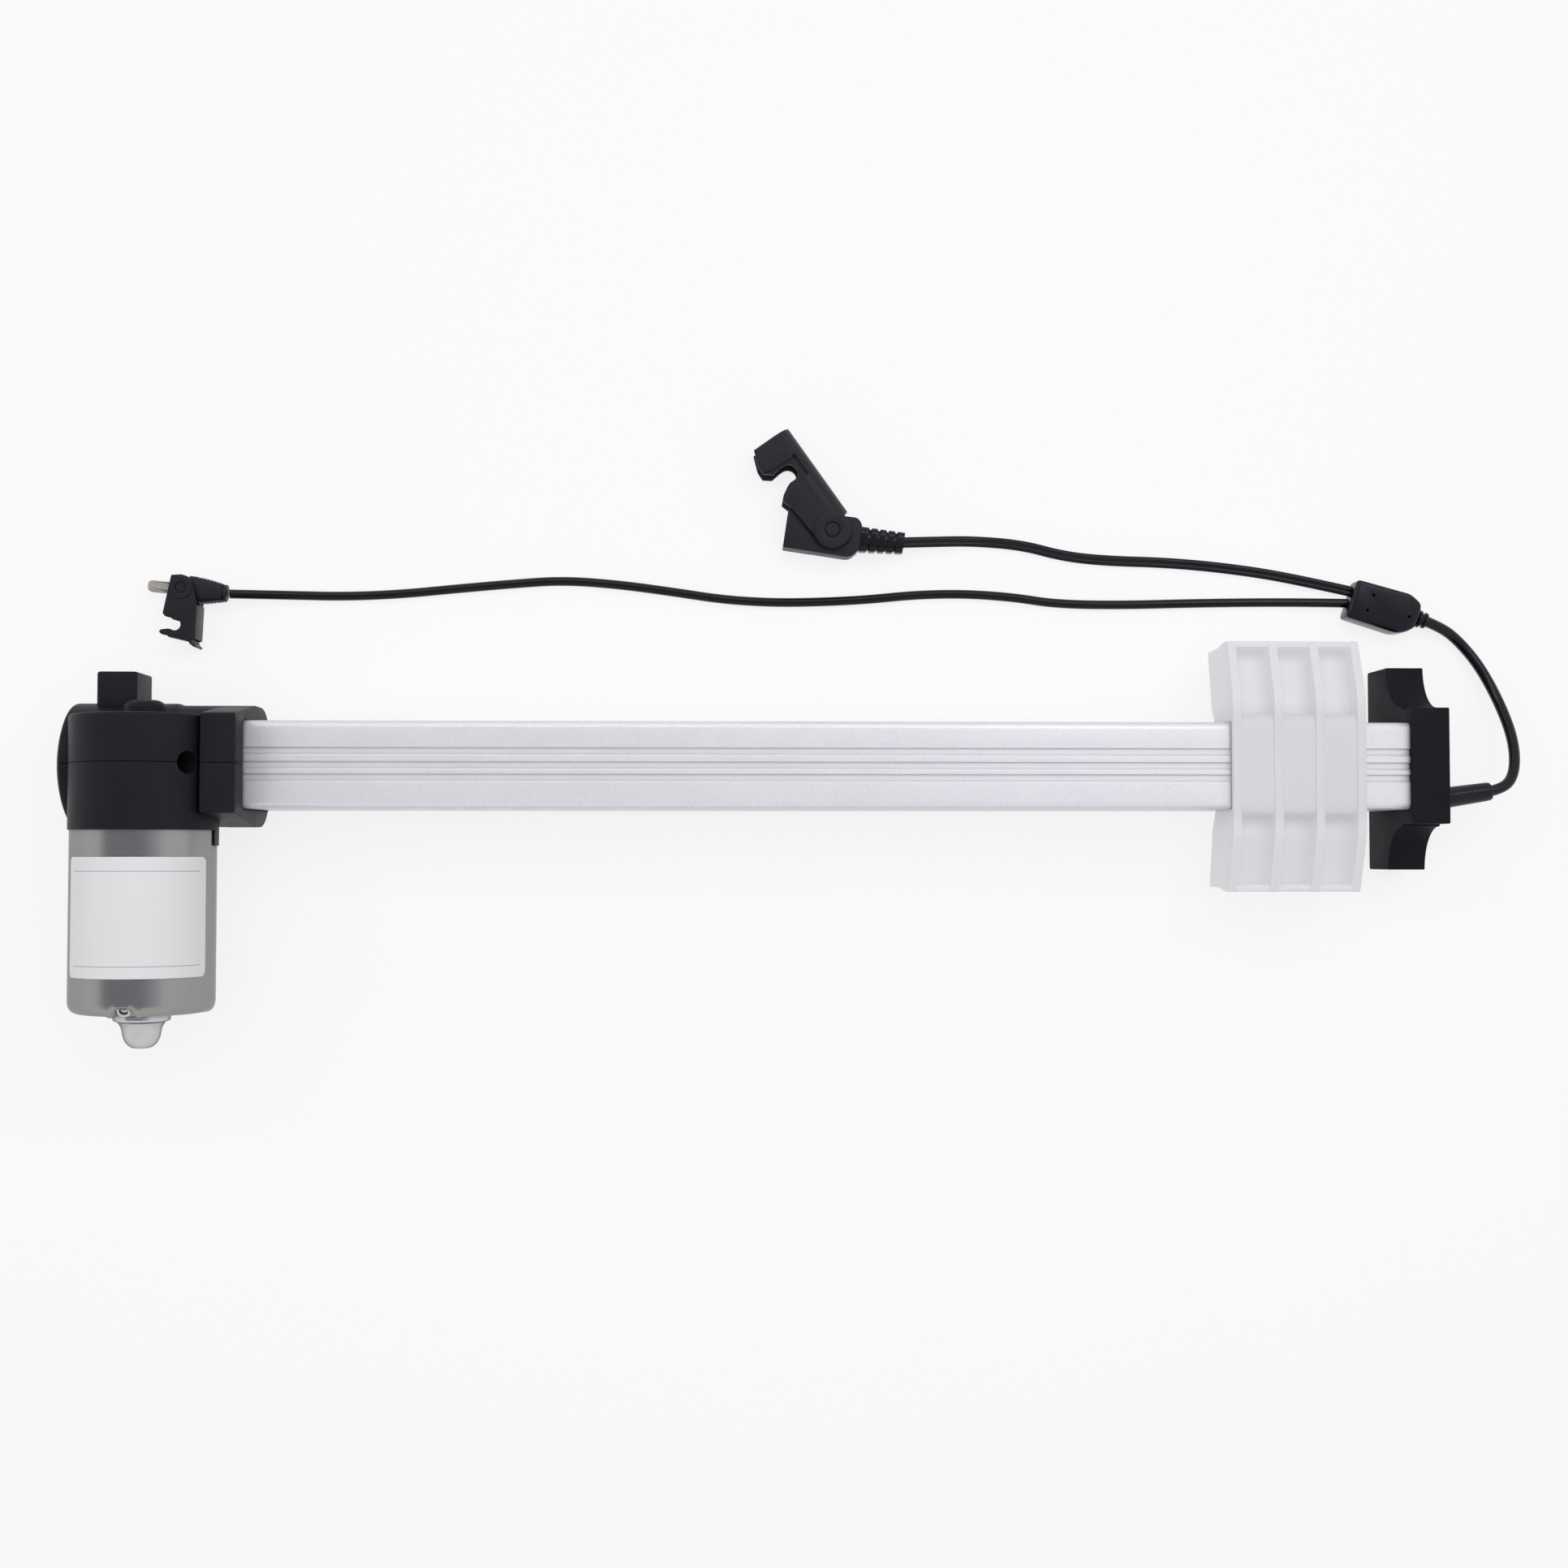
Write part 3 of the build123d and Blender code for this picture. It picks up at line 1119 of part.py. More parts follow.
def build_nodes():
    """Every node by name, in the bench frame."""
    upper, lower = gear_housing()
    return {
        "gear_housing_upper": upper,
        "gear_housing_lower": lower,
        "housing_screws": housing_screws(),
        "motor_can": motor_can(),
        "motor_end_cup": motor_end_cup(),
        "motor_bearings": motor_bearings(),
        "magnets": magnets(),
        "brush_holder": brush_holder(),
        "brushes": brushes(),
        "motor_shaft": motor_shaft(),
        "armature": armature(),
        "winding": winding(),
        "commutator": commutator(),
        "worm": worm(),
        "worm_wheel": worm_wheel(),
        "spindle": spindle(),
        "thrust_bearing": thrust_bearing(),
        "fixing_nut": fixing_nut(),
        "spindle_end_bush": spindle_end_bush(),
        "end_buffers": end_buffers(),
        "rail": rail(),
        "limit_switch_board": limit_switch_board(),
        "limit_switches": limit_switches(),
        "motor_leads": motor_leads(),
        "drive_nut": drive_nut(),
        "slider_screws": slider_screws(),
        "slider_block": slider_block(),
        "end_cap": end_cap(),
        "end_cap_screws": end_cap_screws(),
        "cable_boot": cable_boot(),
        "main_cable": cord("main_cable", MAIN_ROUTE, MAIN_R),
        "splitter": splitter(),
        "socket_lead": cord("socket_lead", TWIN_ROUTE, TWIN_R),
        "plug_lead": cord("plug_lead", THIN_ROUTE, THIN_R),
        "socket_body": in_socket(socket_body()),
        "socket_contacts": in_socket(socket_contacts()),
        "socket_strain_relief": in_socket(socket_strain_relief()),
        "socket_latch": in_socket(socket_latch()),
        "plug_body": in_plug(plug_body()),
        "plug_insert": in_plug(plug_insert()),
        "plug_contacts": in_plug(plug_contacts()),
        "plug_latch": plug_latch(),
    }


def bottom_centre(nodes):
    """Middle of the base of everything that isn't on a cord: the part's own origin."""
    boxes = [s.bounding_box() for name, s in nodes.items() if name not in CORD_NODES]
    x = (min(b.min.X for b in boxes) + max(b.max.X for b in boxes)) / 2
    y = (min(b.min.Y for b in boxes) + max(b.max.Y for b in boxes)) / 2
    return Vector(x, y, min(b.min.Z for b in boxes))


nodes = build_nodes()
origin = bottom_centre(nodes)
print("origin in the bench frame", origin)
os.makedirs("parts", exist_ok=True)
for name, shape in nodes.items():
    moved = Pos(-origin.X, -origin.Y, -origin.Z) * shape
    export_step(moved, f"parts/{name}.step")
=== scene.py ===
"""Electric linear actuator: a finished look for every piece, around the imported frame."""
import json
import math

import bmesh
import bpy
import numpy as np
from bpy.props import FloatProperty, FloatVectorProperty, PointerProperty
from mathutils import Matrix, Vector


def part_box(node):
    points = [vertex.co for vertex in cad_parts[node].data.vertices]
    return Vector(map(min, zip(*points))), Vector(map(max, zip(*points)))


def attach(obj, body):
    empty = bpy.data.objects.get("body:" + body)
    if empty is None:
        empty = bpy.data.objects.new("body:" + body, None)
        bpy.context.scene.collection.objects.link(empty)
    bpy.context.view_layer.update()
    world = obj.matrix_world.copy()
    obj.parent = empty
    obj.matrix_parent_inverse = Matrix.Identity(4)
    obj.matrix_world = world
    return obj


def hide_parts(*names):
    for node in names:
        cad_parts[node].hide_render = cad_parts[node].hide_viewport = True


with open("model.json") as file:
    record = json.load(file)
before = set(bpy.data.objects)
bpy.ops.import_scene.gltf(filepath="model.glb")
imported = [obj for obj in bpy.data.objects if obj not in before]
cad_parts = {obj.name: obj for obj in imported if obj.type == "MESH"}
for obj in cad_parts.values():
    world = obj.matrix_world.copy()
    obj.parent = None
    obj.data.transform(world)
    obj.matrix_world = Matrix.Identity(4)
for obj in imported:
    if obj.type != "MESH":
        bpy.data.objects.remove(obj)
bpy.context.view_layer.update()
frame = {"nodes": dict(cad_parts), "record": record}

bl_info = {
    "name": "Linear actuator finish",
    "version": (1, 0, 0),
    "blender": (4, 5, 0),
    "location": "View3D > Sidebar > Actuator",
    "description": "Builds the finished pieces, materials and studio of a linear actuator",
    "category": "Object",
}


def middle(node, axis):
    """Middle of a node's box along one axis, in millimetres."""
    low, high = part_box(node)
    return 500.0 * (low[axis] + high[axis])


# The bench frame of the source: x from the motor axis, y from the spindle axis, z from the table.
ORIGIN = np.array([-middle("armature", 0), -middle("spindle", 1), 0.0])
SPINDLE_Z = middle("spindle", 2)
MOTOR_Z = middle("armature", 2)
RAIL_FROM, RAIL_TO = 24.0, 453.6
RAIL_HALF = 15.5
RAIL_BACK_Z, RAIL_FRONT_Z = 6.0, 46.0
CHAMBER_R, CHAMBER_LEFT, CHAMBER_RIGHT, DOME_RISE = 22.5, -28.0, 8.0, 5.0
COLLAR, COLLAR_HALF = (23.1, 35.2), 21.8
SHROUD_R, SHROUD_SPAN = 25.4, (-23.1, 17.0)
CAN_R, CAN_END, CAN_EDGE = 24.8, -86.7, 4.5
CUP_TIP = -99.1
STAKES_FROM = 0.5
LABEL_Y = (-73.7, -32.4)
LABEL_ANGLES = (-56.0, 72.0)
CABLE_HOLE_ANGLE, CABLE_HOLE_R = 49.5, 4.0
SLIDER_X = (383.3, 430.9)
RIB, BAYS = 3.1, 3
BAY_PITCH = (SLIDER_X[1] - SLIDER_X[0] - RIB) / BAYS
SLIDER_HALF, PLATEAU_HALF, PLATEAU_Z, WING_TIP_Z = 45.0, 24.3, 49.0, 41.0
CHANNEL_TOP, WEB_DEPTH, WEB = 46.35, 10.0, 3.5
CHANNEL_HALF, CHANNEL_OUTER = 15.85, 18.45
BRIDGE_Z = (1.65, 5.65)
CAP_X = (447.6, 461.2)
SOCKET_PIVOT, SOCKET_TURN, SOCKET_Z = (243.4, 88.8), 171.5, (1.9, 11.5)
PLUG_PIVOT, PLUG_TURN, PLUG_Z = (3.6, 66.5), 174.5, (1.6, 9.8)
LATCH_OPEN = 46.0
SPLITTER_OUTLINE = [
    (441.4, 71.8), (461.5, 66.3), (465.5, 62.7), (465.1, 59.0),
    (462.9, 53.7), (459.2, 51.9), (455.4, 51.6), (436.6, 57.6),
]
NOZZLE = ((463.4, 58.1), (468.6, 56.5))
LUG_CORNERS = [(-19.6, 14.0), (-5.4, 14.0), (-5.4, 34.0), (-19.6, 34.0)]
FOOT_CORNERS = [(-9.0, 0.0), (9.0, 0.0), (9.0, 16.0), (-9.0, 16.0)]
FOOT_BORE_R, FOOT_BORE_Z = 4.1, 6.6
STAKE_HALF, STAKE_IN, STAKE_BACK = 3.6, 1.3, 2.4
RULES_Y, RULES_X, RULE_HALF = (-37.3, -69.6), (-18.6, 22.6), 0.09
SCREW_R, SCREW_LEAD, SCREW_STARTS = 6.0, 12.0, 4

# Camera: its place in bench millimetres, its axes, and half the view over the distance
CAMERA_PLACE = (201.811, -31.369, 746.0)
CAMERA_RIGHT, CAMERA_AHEAD = (0.99948, 0.0, 0.03221), (0.03219, 0.03508, -0.99887)
CAMERA_SLOPE = 966.0 / 2450.0

# Cord routes of the source, in bench millimetres
MAIN_ROUTE = [
    (484.0, -8.47, 25.0), (489.4, -7.4, 24.6), (494.2, -2.9, 22.4), (496.5, 5.6, 18.6),
    (496.6, 15.5, 13.6), (493.8, 28.0, 8.0), (488.8, 40.2, 4.0), (481.5, 49.6, 2.6),
    (474.6, 54.4, 3.9), (467.6, 56.8, 5.0),
]
TWIN_ROUTE = [
    (441.4, 67.6, 3.4), (424.0, 71.8, 1.6), (402.2, 75.8, 1.3), (374.4, 78.7, 1.3),
    (347.0, 79.4, 1.3), (331.2, 81.1, 1.3), (315.9, 85.2, 1.3), (297.4, 86.6, 1.5),
    (283.6, 85.9, 4.2), (270.2, 85.1, 6.7),
]
THIN_ROUTE = [
    (440.0, 63.4, 3.4), (420.0, 63.9, 1.9), (385.0, 63.5, 1.75), (352.0, 62.5, 1.75),
    (328.0, 62.9, 1.75), (312.8, 65.3, 1.75), (294.0, 66.6, 1.75), (275.0, 66.1, 1.75),
    (258.0, 64.3, 1.75), (241.0, 63.3, 1.75), (222.0, 62.9, 1.75), (203.0, 64.0, 1.75),
    (185.0, 66.7, 1.75), (164.0, 69.5, 1.75), (143.0, 71.0, 1.75), (124.0, 69.6, 1.75),
    (102.5, 67.6, 1.75), (83.0, 65.6, 1.75), (62.0, 64.6, 1.75), (41.0, 64.9, 2.6),
    (20.1, 64.9, 5.5),
]


def to_row(points):
    """Bench millimetres to the row frame in metres."""
    return (np.asarray(points, float) - ORIGIN) / 1000.0


def row_place(axis, value):
    """A bench place along one axis, in the row frame."""
    return float((value - ORIGIN[axis]) / 1000.0)


# Shapes


def soften(points, radius, steps=5):
    """A closed outline with its corners rounded: each corner P becomes the curve
    (1-s)^2 A + 2s(1-s) P + s^2 B, where A and B lie the radius before and after it."""
    p = np.asarray(points, float)
    back = np.roll(p, 1, 0) - p
    ahead = np.roll(p, -1, 0) - p
    size_b = np.linalg.norm(back, axis=1)
    size_a = np.linalg.norm(ahead, axis=1)
    wanted = np.broadcast_to(np.asarray(radius, float), size_a.shape)
    reach = np.minimum(wanted, 0.46 * np.minimum(size_a, size_b))[:, None]
    a = p + back / size_b[:, None] * reach
    b = p + ahead / size_a[:, None] * reach
    s = np.linspace(0, 1, steps + 1)[None, :, None]
    curve = (1 - s) ** 2 * a[:, None] + 2 * s * (1 - s) * p[:, None] + s**2 * b[:, None]
    line = curve.reshape(-1, p.shape[1])
    return line[np.linalg.norm(line - np.roll(line, 1, 0), axis=1) > 1e-6]


def soften_line(points, radius, steps=5):
    """An open line with its inner corners rounded in the same way."""
    p = np.asarray(points, float)
    sizes = np.broadcast_to(np.asarray(radius, float), (len(p),)).copy()
    sizes[0] = sizes[-1] = 0.0
    line = soften(p, sizes, steps)
    first = np.argmin(np.linalg.norm(line - p[0], axis=1))
    return np.roll(line, -first, 0)


def outward(ring):
    """Outward mitre vectors of a closed outline: the sum of both sides' normals over one
    plus their product, no longer than two."""
    side = np.roll(ring, -1, 0) - ring
    side /= np.linalg.norm(side, axis=1)[:, None]
    area = np.sum(ring[:, 0] * np.roll(ring[:, 1], -1) - np.roll(ring[:, 0], -1) * ring[:, 1])
    n = np.stack([side[:, 1], -side[:, 0]], 1) * np.sign(area)
    before = np.roll(n, 1, 0)
    mitre = (n + before) / (1 + np.sum(n * before, axis=1))[:, None].clip(0.3)
    size = np.linalg.norm(mitre, axis=1)[:, None]
    return mitre * np.minimum(1, 2 / size)


def along_axis(axis, a, u, v):
    """Points from a place along an axis and two places across it."""
    a, u, v = np.broadcast_arrays(a, u, v)
    order = {"x": (a, u, v), "y": (u, a, v), "z": (u, v, a)}[axis]
    return np.stack(order, -1)


def circle(radius, centre=(0.0, 0.0), points=48):
    """An outline at one distance from its centre."""
    turn = np.linspace(0, 2 * np.pi, points, endpoint=False)
    return np.stack([centre[0] + radius * np.cos(turn), centre[1] + radius * np.sin(turn)], 1)


def boxy(wave, power):
    """A sine or cosine w drawn out towards a box: sign(w) |w|^power."""
    return np.sign(wave) * np.abs(wave) ** power


def mirrored(half):
    """An outline from the points of its +y side and their mirror images."""
    return np.array(half + [(-y, z) for y, z in reversed(half)])


def quads(rows, columns, wrap_rows=False):
    """Faces of a grid whose columns close on themselves."""
    i, j = np.meshgrid(np.arange(rows if wrap_rows else rows - 1), np.arange(columns), indexing="ij")
    down, right = (i + 1) % rows, (j + 1) % columns
    face = np.stack([i * columns + j, down * columns + j, down * columns + right, i * columns + right], -1)
    return face.reshape(-1, 4).tolist()


def shell(rings, closed=False):
    """A closed solid from rings of points: (rings, points, 3). Its ends are flat, or it
    closes on itself."""
    rows, columns = rings.shape[:2]
    faces = quads(rows, columns, closed)
    if not closed:
        faces += [list(range(columns)), list(range((rows - 1) * columns, rows * columns))]
    return rings.reshape(-1, 3), faces


def edge_curve(low, high, edge, steps=4):
    """Places and insets of a section with quarter-circle edges: the inset falls as
    edge (1 - sin a) while the place moves by edge (1 - cos a)."""
    turn = np.linspace(0, np.pi / 2, steps + 1)
    inset = edge * (1 - np.sin(turn))
    move = edge * (1 - np.cos(turn))
    return np.concatenate([low + move, (high - move)[::-1]]), np.concatenate([inset, inset[::-1]])


def prism(outline, low, high, edge=0.4, axis="x", steps=4):
    """An outline carried along an axis, drawn in at both ends by a quarter circle."""
    ring = np.asarray(outline, float)
    place, inset = edge_curve(low, high, edge, steps)
    rings = ring[None] - outward(ring)[None] * inset[:, None, None]
    return shell(along_axis(axis, place[:, None], rings[..., 0], rings[..., 1]))


def meet(outline, centre, angles):
    """Where rays from the centre at these angles meet a star-shaped outline: on the side
    from P to Q the ray's length is cross(P, Q-P) / cross(ray, Q-P)."""
    p = np.asarray(outline, float) - centre
    polar = np.mod(np.arctan2(p[:, 1], p[:, 0]), 2 * np.pi)
    order = np.argsort(polar)
    p, polar = p[order], polar[order]
    after = np.searchsorted(polar, angles, side="left") % len(p)
    a, b = p[after - 1], p[after]
    d = np.stack([np.cos(angles), np.sin(angles)], 1)
    e = b - a
    cross = d[:, 0] * e[:, 1] - d[:, 1] * e[:, 0]
    size = (a[:, 0] * e[:, 1] - a[:, 1] * e[:, 0]) / np.where(np.abs(cross) < 1e-9, 1e-9, cross)
    return d * size[:, None] + centre


def ring_prism(outer, inner, centre, low, high, edge=0.4, axis="x", steps=3):
    """A section with a hole, carried along an axis: both outlines are read at the same
    angles round the centre, and all four edges are rounded by quarter circles."""
    centre = np.asarray(centre, float)
    both = np.concatenate([np.asarray(outer, float), np.asarray(inner, float)]) - centre
    angles = np.unique(np.round(np.mod(np.arctan2(both[:, 1], both[:, 0]), 2 * np.pi), 6))
    out = meet(outer, centre, angles)
    hole = meet(inner, centre, angles)
    place, inset = edge_curve(low, high, edge, steps)
    outside = out[None] - outward(out)[None] * inset[:, None, None]
    inside = (hole[None] + outward(hole)[None] * inset[:, None, None])[::-1]
    rings = np.concatenate([outside, inside])
    places = np.concatenate([place, place[::-1]])
    return shell(along_axis(axis, places[:, None], rings[..., 0], rings[..., 1]), closed=True)


def turned(profile, axis, centre, segments=96, split=None, depth=0.22, half=0.5):
    """A profile of (place, radius) turned round an axis. With split, the radius falls by a
    narrow V where the surface crosses that angle and the one opposite it."""
    line = np.asarray(profile, float)
    angle = np.linspace(0, 2 * np.pi, segments, endpoint=False)
    dip = np.zeros_like(angle)
    if split is not None:
        near = np.radians(split + np.array([-half, 0, half, 180 - half, 180, 180 + half]))
        angle = np.unique(np.round(np.concatenate([angle, np.mod(near, 2 * np.pi)]), 6))
        away = np.abs(np.mod(np.degrees(angle) - split + 90, 180) - 90)
        dip = depth * np.clip(1 - away / half, 0, 1)
    place, radius = line[:, :1], line[:, 1:]
    radius = np.maximum(radius - dip * (radius > 2), 0.01)
    u = centre[0] + radius * np.cos(angle)
    v = centre[1] + radius * np.sin(angle)
    return shell(along_axis(axis, place, u, v))


def bent_patch(radius, thick, y_span, angles, corner, rows=72, columns=10):
    """A thin patch on a cylinder along y: at the arc length s its half height is
    H - r + sqrt(r^2 - t^2) within the corner radius r of either end, and H between."""
    length = math.radians(angles[1] - angles[0]) * radius
    s = length / 2 * np.sin(np.linspace(-np.pi / 2, np.pi / 2, rows))
    t = np.clip(np.abs(s) - (length / 2 - corner), 0, corner)
    half = (y_span[1] - y_span[0]) / 2
    reach = half - corner + np.sqrt(np.maximum(corner**2 - t**2, 0))
    across = np.linspace(-1, 1, columns)
    y = np.concatenate([across, across[::-1]])[None] * reach[:, None] + sum(y_span) / 2
    level = np.concatenate([np.full(columns, radius + thick), np.full(columns, radius)])[None]
    angle = (s / radius + math.radians(sum(angles) / 2))[:, None]
    x, z = level * np.sin(angle), MOTOR_Z + level * np.cos(angle)
    return shell(np.stack(np.broadcast_arrays(x, y, z), -1))


def thread(radius, depth, lead, starts, x0, x1, centre_z, segments=24, per_turn=40):
    """A screw surface round x: the radius at (x, angle) is R - D w, where w is a trapezium
    wave of starts (x / lead - angle / one turn)."""
    rows = int((x1 - x0) / lead * per_turn / 4) * 4
    x = np.linspace(x0, x1, rows)[:, None]
    angle = np.linspace(0, 2 * np.pi, segments, endpoint=False)[None]
    wave = np.abs(np.mod(starts * (x / lead - angle / (2 * np.pi)), 1) * 2 - 1)
    r = radius - depth * np.clip((wave - 0.28) / 0.44, 0, 1)
    return shell(np.stack(np.broadcast_arrays(x, r * np.cos(angle), centre_z + r * np.sin(angle)), -1))


def moved(solid, pivot, turn, level=0.0):
    """A solid turned about z and moved to its pivot on the table."""
    points, faces = solid
    c, s = math.cos(math.radians(turn)), math.sin(math.radians(turn))
    x = pivot[0] + points[:, 0] * c - points[:, 1] * s
    y = pivot[1] + points[:, 0] * s + points[:, 1] * c
    return np.stack([x, y, points[:, 2] + level], 1), faces


def tilted(solid, place, direction):
    """A solid made along x from the origin, laid along a direction from a place."""
    points, faces = solid
    ex = np.asarray(direction, float)
    ex = ex / np.linalg.norm(ex)
    ey = np.cross([0, 0, 1.0], ex)
    ey /= np.linalg.norm(ey)
    basis = np.stack([ex, ey, np.cross(ex, ey)])
    return points @ basis + np.asarray(place, float), faces


def staked(points):
    """Three dents in the can's end edge. Each draws the rounding in and back towards the
    gearbox by a depth of exp(-(arc / W)^4), less a low swelling beside it, which fades along
    the can and towards the middle of its end."""
    x, height = points[:, 0], points[:, 2] - MOTOR_Z
    away = np.abs(np.mod(np.degrees(np.arctan2(x, height)) - STAKES_FROM + 60, 120) - 60)
    arc = np.radians(away) * CAN_R
    radius = np.hypot(x, height)
    along = np.clip((CAN_END + STAKE_HALF - points[:, 1]) / STAKE_HALF, 0, 1)
    rim = np.clip((radius - (CAN_R - CAN_EDGE - 3)) / 3, 0, 1)
    swelling = 0.22 * np.exp(-(((arc - 5.6) / 1.3) ** 2))
    depth = ((np.exp(-((arc / STAKE_HALF) ** 4)) - swelling) * along * rim)[:, None]
    radial = np.stack([x, 0 * arc, height], 1) / np.maximum(radius, 0.1)[:, None]
    return points - radial * STAKE_IN * depth + np.array([0.0, STAKE_BACK, 0.0]) * depth


def tube_rings(path, outline):
    """A section (side, height) carried along a path, its side kept level: the side vector
    is the cross product of up and the tangent."""
    tangent = np.gradient(path, axis=0)
    tangent /= np.linalg.norm(tangent, axis=1)[:, None]
    side = np.cross([0, 0, 1.0], tangent)
    side /= np.linalg.norm(side, axis=1)[:, None]
    up = np.cross(tangent, side)
    return path[:, None] + side[:, None] * outline[None, :, :1] + up[:, None] * outline[None, :, 1:]


def build_mesh(name, solids):
    """One mesh from several closed solids in bench millimetres, with its faces outwards."""
    points, faces, base = [], [], 0
    for part, part_faces in solids:
        points.append(to_row(part))
        faces += [[base + n for n in face] for face in part_faces]
        base += len(part)
    mesh = bpy.data.meshes.new(name)
    mesh.from_pydata(np.concatenate(points).tolist(), [], faces)
    work = bmesh.new()
    work.from_mesh(mesh)
    bmesh.ops.remove_doubles(work, verts=work.verts, dist=1e-8)
    bmesh.ops.recalc_face_normals(work, faces=work.faces)
    bmesh.ops.triangulate(work, faces=[face for face in work.faces if len(face.verts) > 4])
    work.to_mesh(mesh)
    work.free()
    return mesh


def put(name, data):
    """A new object in the scene."""
    obj = bpy.data.objects.new(name, data)
    bpy.context.scene.collection.objects.link(obj)
    return obj


def finish_piece(obj, body, slot, nodes=()):
    """Material, body, slot and the CAD nodes that the piece stands for."""
    obj.data.materials.clear()
    obj.data.materials.append(MATERIALS[slot])
    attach(obj, body)
    if nodes:
        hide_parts(*nodes)
    return obj


def make_piece(name, solids, body, slot, nodes=(), cutters=(), sharp=35.0):
    """A piece of one or more solids, with the cutters taken out of it."""
    obj = put(name, build_mesh(name, solids))
    if cutters:
        tool = put(name + "_cut", build_mesh(name + "_cut", cutters))
        change = obj.modifiers.new("cut", "BOOLEAN")
        change.operation = "DIFFERENCE"
        change.solver = "EXACT"
        change.use_self = True
        change.object = tool
        bpy.context.view_layer.update()
        graph = bpy.context.evaluated_depsgraph_get()
        result = bpy.data.meshes.new_from_object(obj.evaluated_get(graph))
        obj.modifiers.clear()
        obj.data = result
        bpy.data.objects.remove(tool)
    obj.data.shade_smooth()
    obj.data.set_sharp_from_angle(angle=math.radians(sharp))
    return finish_piece(obj, body, slot, nodes)


# Materials

MATERIALS = {}
# Noise scales of the grain, and how far the painted shade in crevices looks, in metres
FINE_GRAIN, COARSE_GRAIN = 2600.0, 90.0
PLASTIC_REACH, METAL_REACH, GROOVE_REACH = 0.0018, 0.0025, 0.0012


def new_group(name, inputs, outputs):
    """A shader node group with named sockets, and its input and output nodes."""
    group = bpy.data.node_groups.new(name, "ShaderNodeTree")
    for kind, label, value in inputs:
        socket = group.interface.new_socket(label, in_out="INPUT", socket_type="NodeSocket" + kind)
        socket.default_value = value
    for kind, label in outputs:
        group.interface.new_socket(label, in_out="OUTPUT", socket_type="NodeSocket" + kind)
    return group, group.nodes.new("NodeGroupInput"), group.nodes.new("NodeGroupOutput")


def add(tree, kind, settings=None, **links):
    """A node with its settings, and its sockets linked or set by name or number."""
    node = tree.nodes.new(kind)
    for key, value in (settings or {}).items():
        setattr(node, key, value)
    for key, value in links.items():
        name = key.replace("_", " ")
        socket = node.inputs[int(key[1:])] if key[0] == "n" and key[1:].isdigit() else node.inputs[name]
        if isinstance(value, bpy.types.NodeSocket):
            tree.links.new(value, socket)
        else:
            socket.default_value = value
    return node


def math_node(tree, operation, first, second=0.0):
    """The value of one arithmetic step."""
    return add(tree, "ShaderNodeMath", {"operation": operation}, n0=first, n1=second).outputs[0]


def grain_group():
    """Fine moulded grain: a fine noise makes a height for the normal, and a coarse one shifts
    the roughness and the brightness."""
    group, source, sink = new_group(
        "moulded grain",
        [("Float", "Size", 1.0), ("Float", "Depth", 0.3), ("Float", "Roughness", 0.5),
         ("Float", "Spread", 0.1)],
        [("Vector", "Normal"), ("Float", "Roughness"), ("Float", "Mask")],
    )
    place = add(group, "ShaderNodeTexCoord").outputs["Object"]
    fine = math_node(group, "DIVIDE", FINE_GRAIN, source.outputs["Size"])
    coarse = math_node(group, "DIVIDE", COARSE_GRAIN, source.outputs["Size"])
    small = add(group, "ShaderNodeTexNoise", Vector=place, Scale=fine, Detail=3.0)
    large = add(group, "ShaderNodeTexNoise", Vector=place, Scale=coarse, Detail=4.0)
    bump = add(group, "ShaderNodeBump", Height=small.outputs[0], Strength=source.outputs["Depth"],
               Distance=0.0002)
    shift = math_node(group, "SUBTRACT", large.outputs[0], 0.5)
    rough = math_node(group, "MULTIPLY", shift, source.outputs["Spread"])
    rough = math_node(group, "ADD", math_node(group, "MULTIPLY", rough, 2.0), source.outputs["Roughness"])
    group.links.new(bump.outputs[0], sink.inputs["Normal"])
    group.links.new(rough, sink.inputs["Roughness"])
    group.links.new(large.outputs[0], sink.inputs["Mask"])
    return group


def drawn_group():
    """Drawn metal: noise stretched along one axis, with a finer cloud of it."""
    group, source, sink = new_group(
        "drawn metal",
        [("Vector", "Stretch", (1.0, 1.0, 1.0)), ("Float", "Depth", 0.1), ("Float", "Roughness", 0.3)],
        [("Vector", "Normal"), ("Float", "Roughness"), ("Float", "Mask")],
    )
    place = add(group, "ShaderNodeTexCoord").outputs["Object"]
    long = add(group, "ShaderNodeVectorMath", {"operation": "MULTIPLY"}, n0=place,
               n1=source.outputs["Stretch"])
    lines = add(group, "ShaderNodeTexNoise", Vector=long.outputs[0], Scale=1.0, Detail=4.0)
    cloud = add(group, "ShaderNodeTexNoise", Vector=place, Scale=FINE_GRAIN, Detail=3.0)
    bump = add(group, "ShaderNodeBump", Height=lines.outputs[0], Strength=source.outputs["Depth"],
               Distance=0.0001)
    both = math_node(group, "ADD", lines.outputs[0], cloud.outputs[0])
    shift = math_node(group, "MULTIPLY", math_node(group, "SUBTRACT", both, 1.0), 0.16)
    group.links.new(bump.outputs[0], sink.inputs["Normal"])
    group.links.new(math_node(group, "ADD", shift, source.outputs["Roughness"]), sink.inputs["Roughness"])
    group.links.new(math_node(group, "MULTIPLY", both, 0.5), sink.inputs["Mask"])
    return group


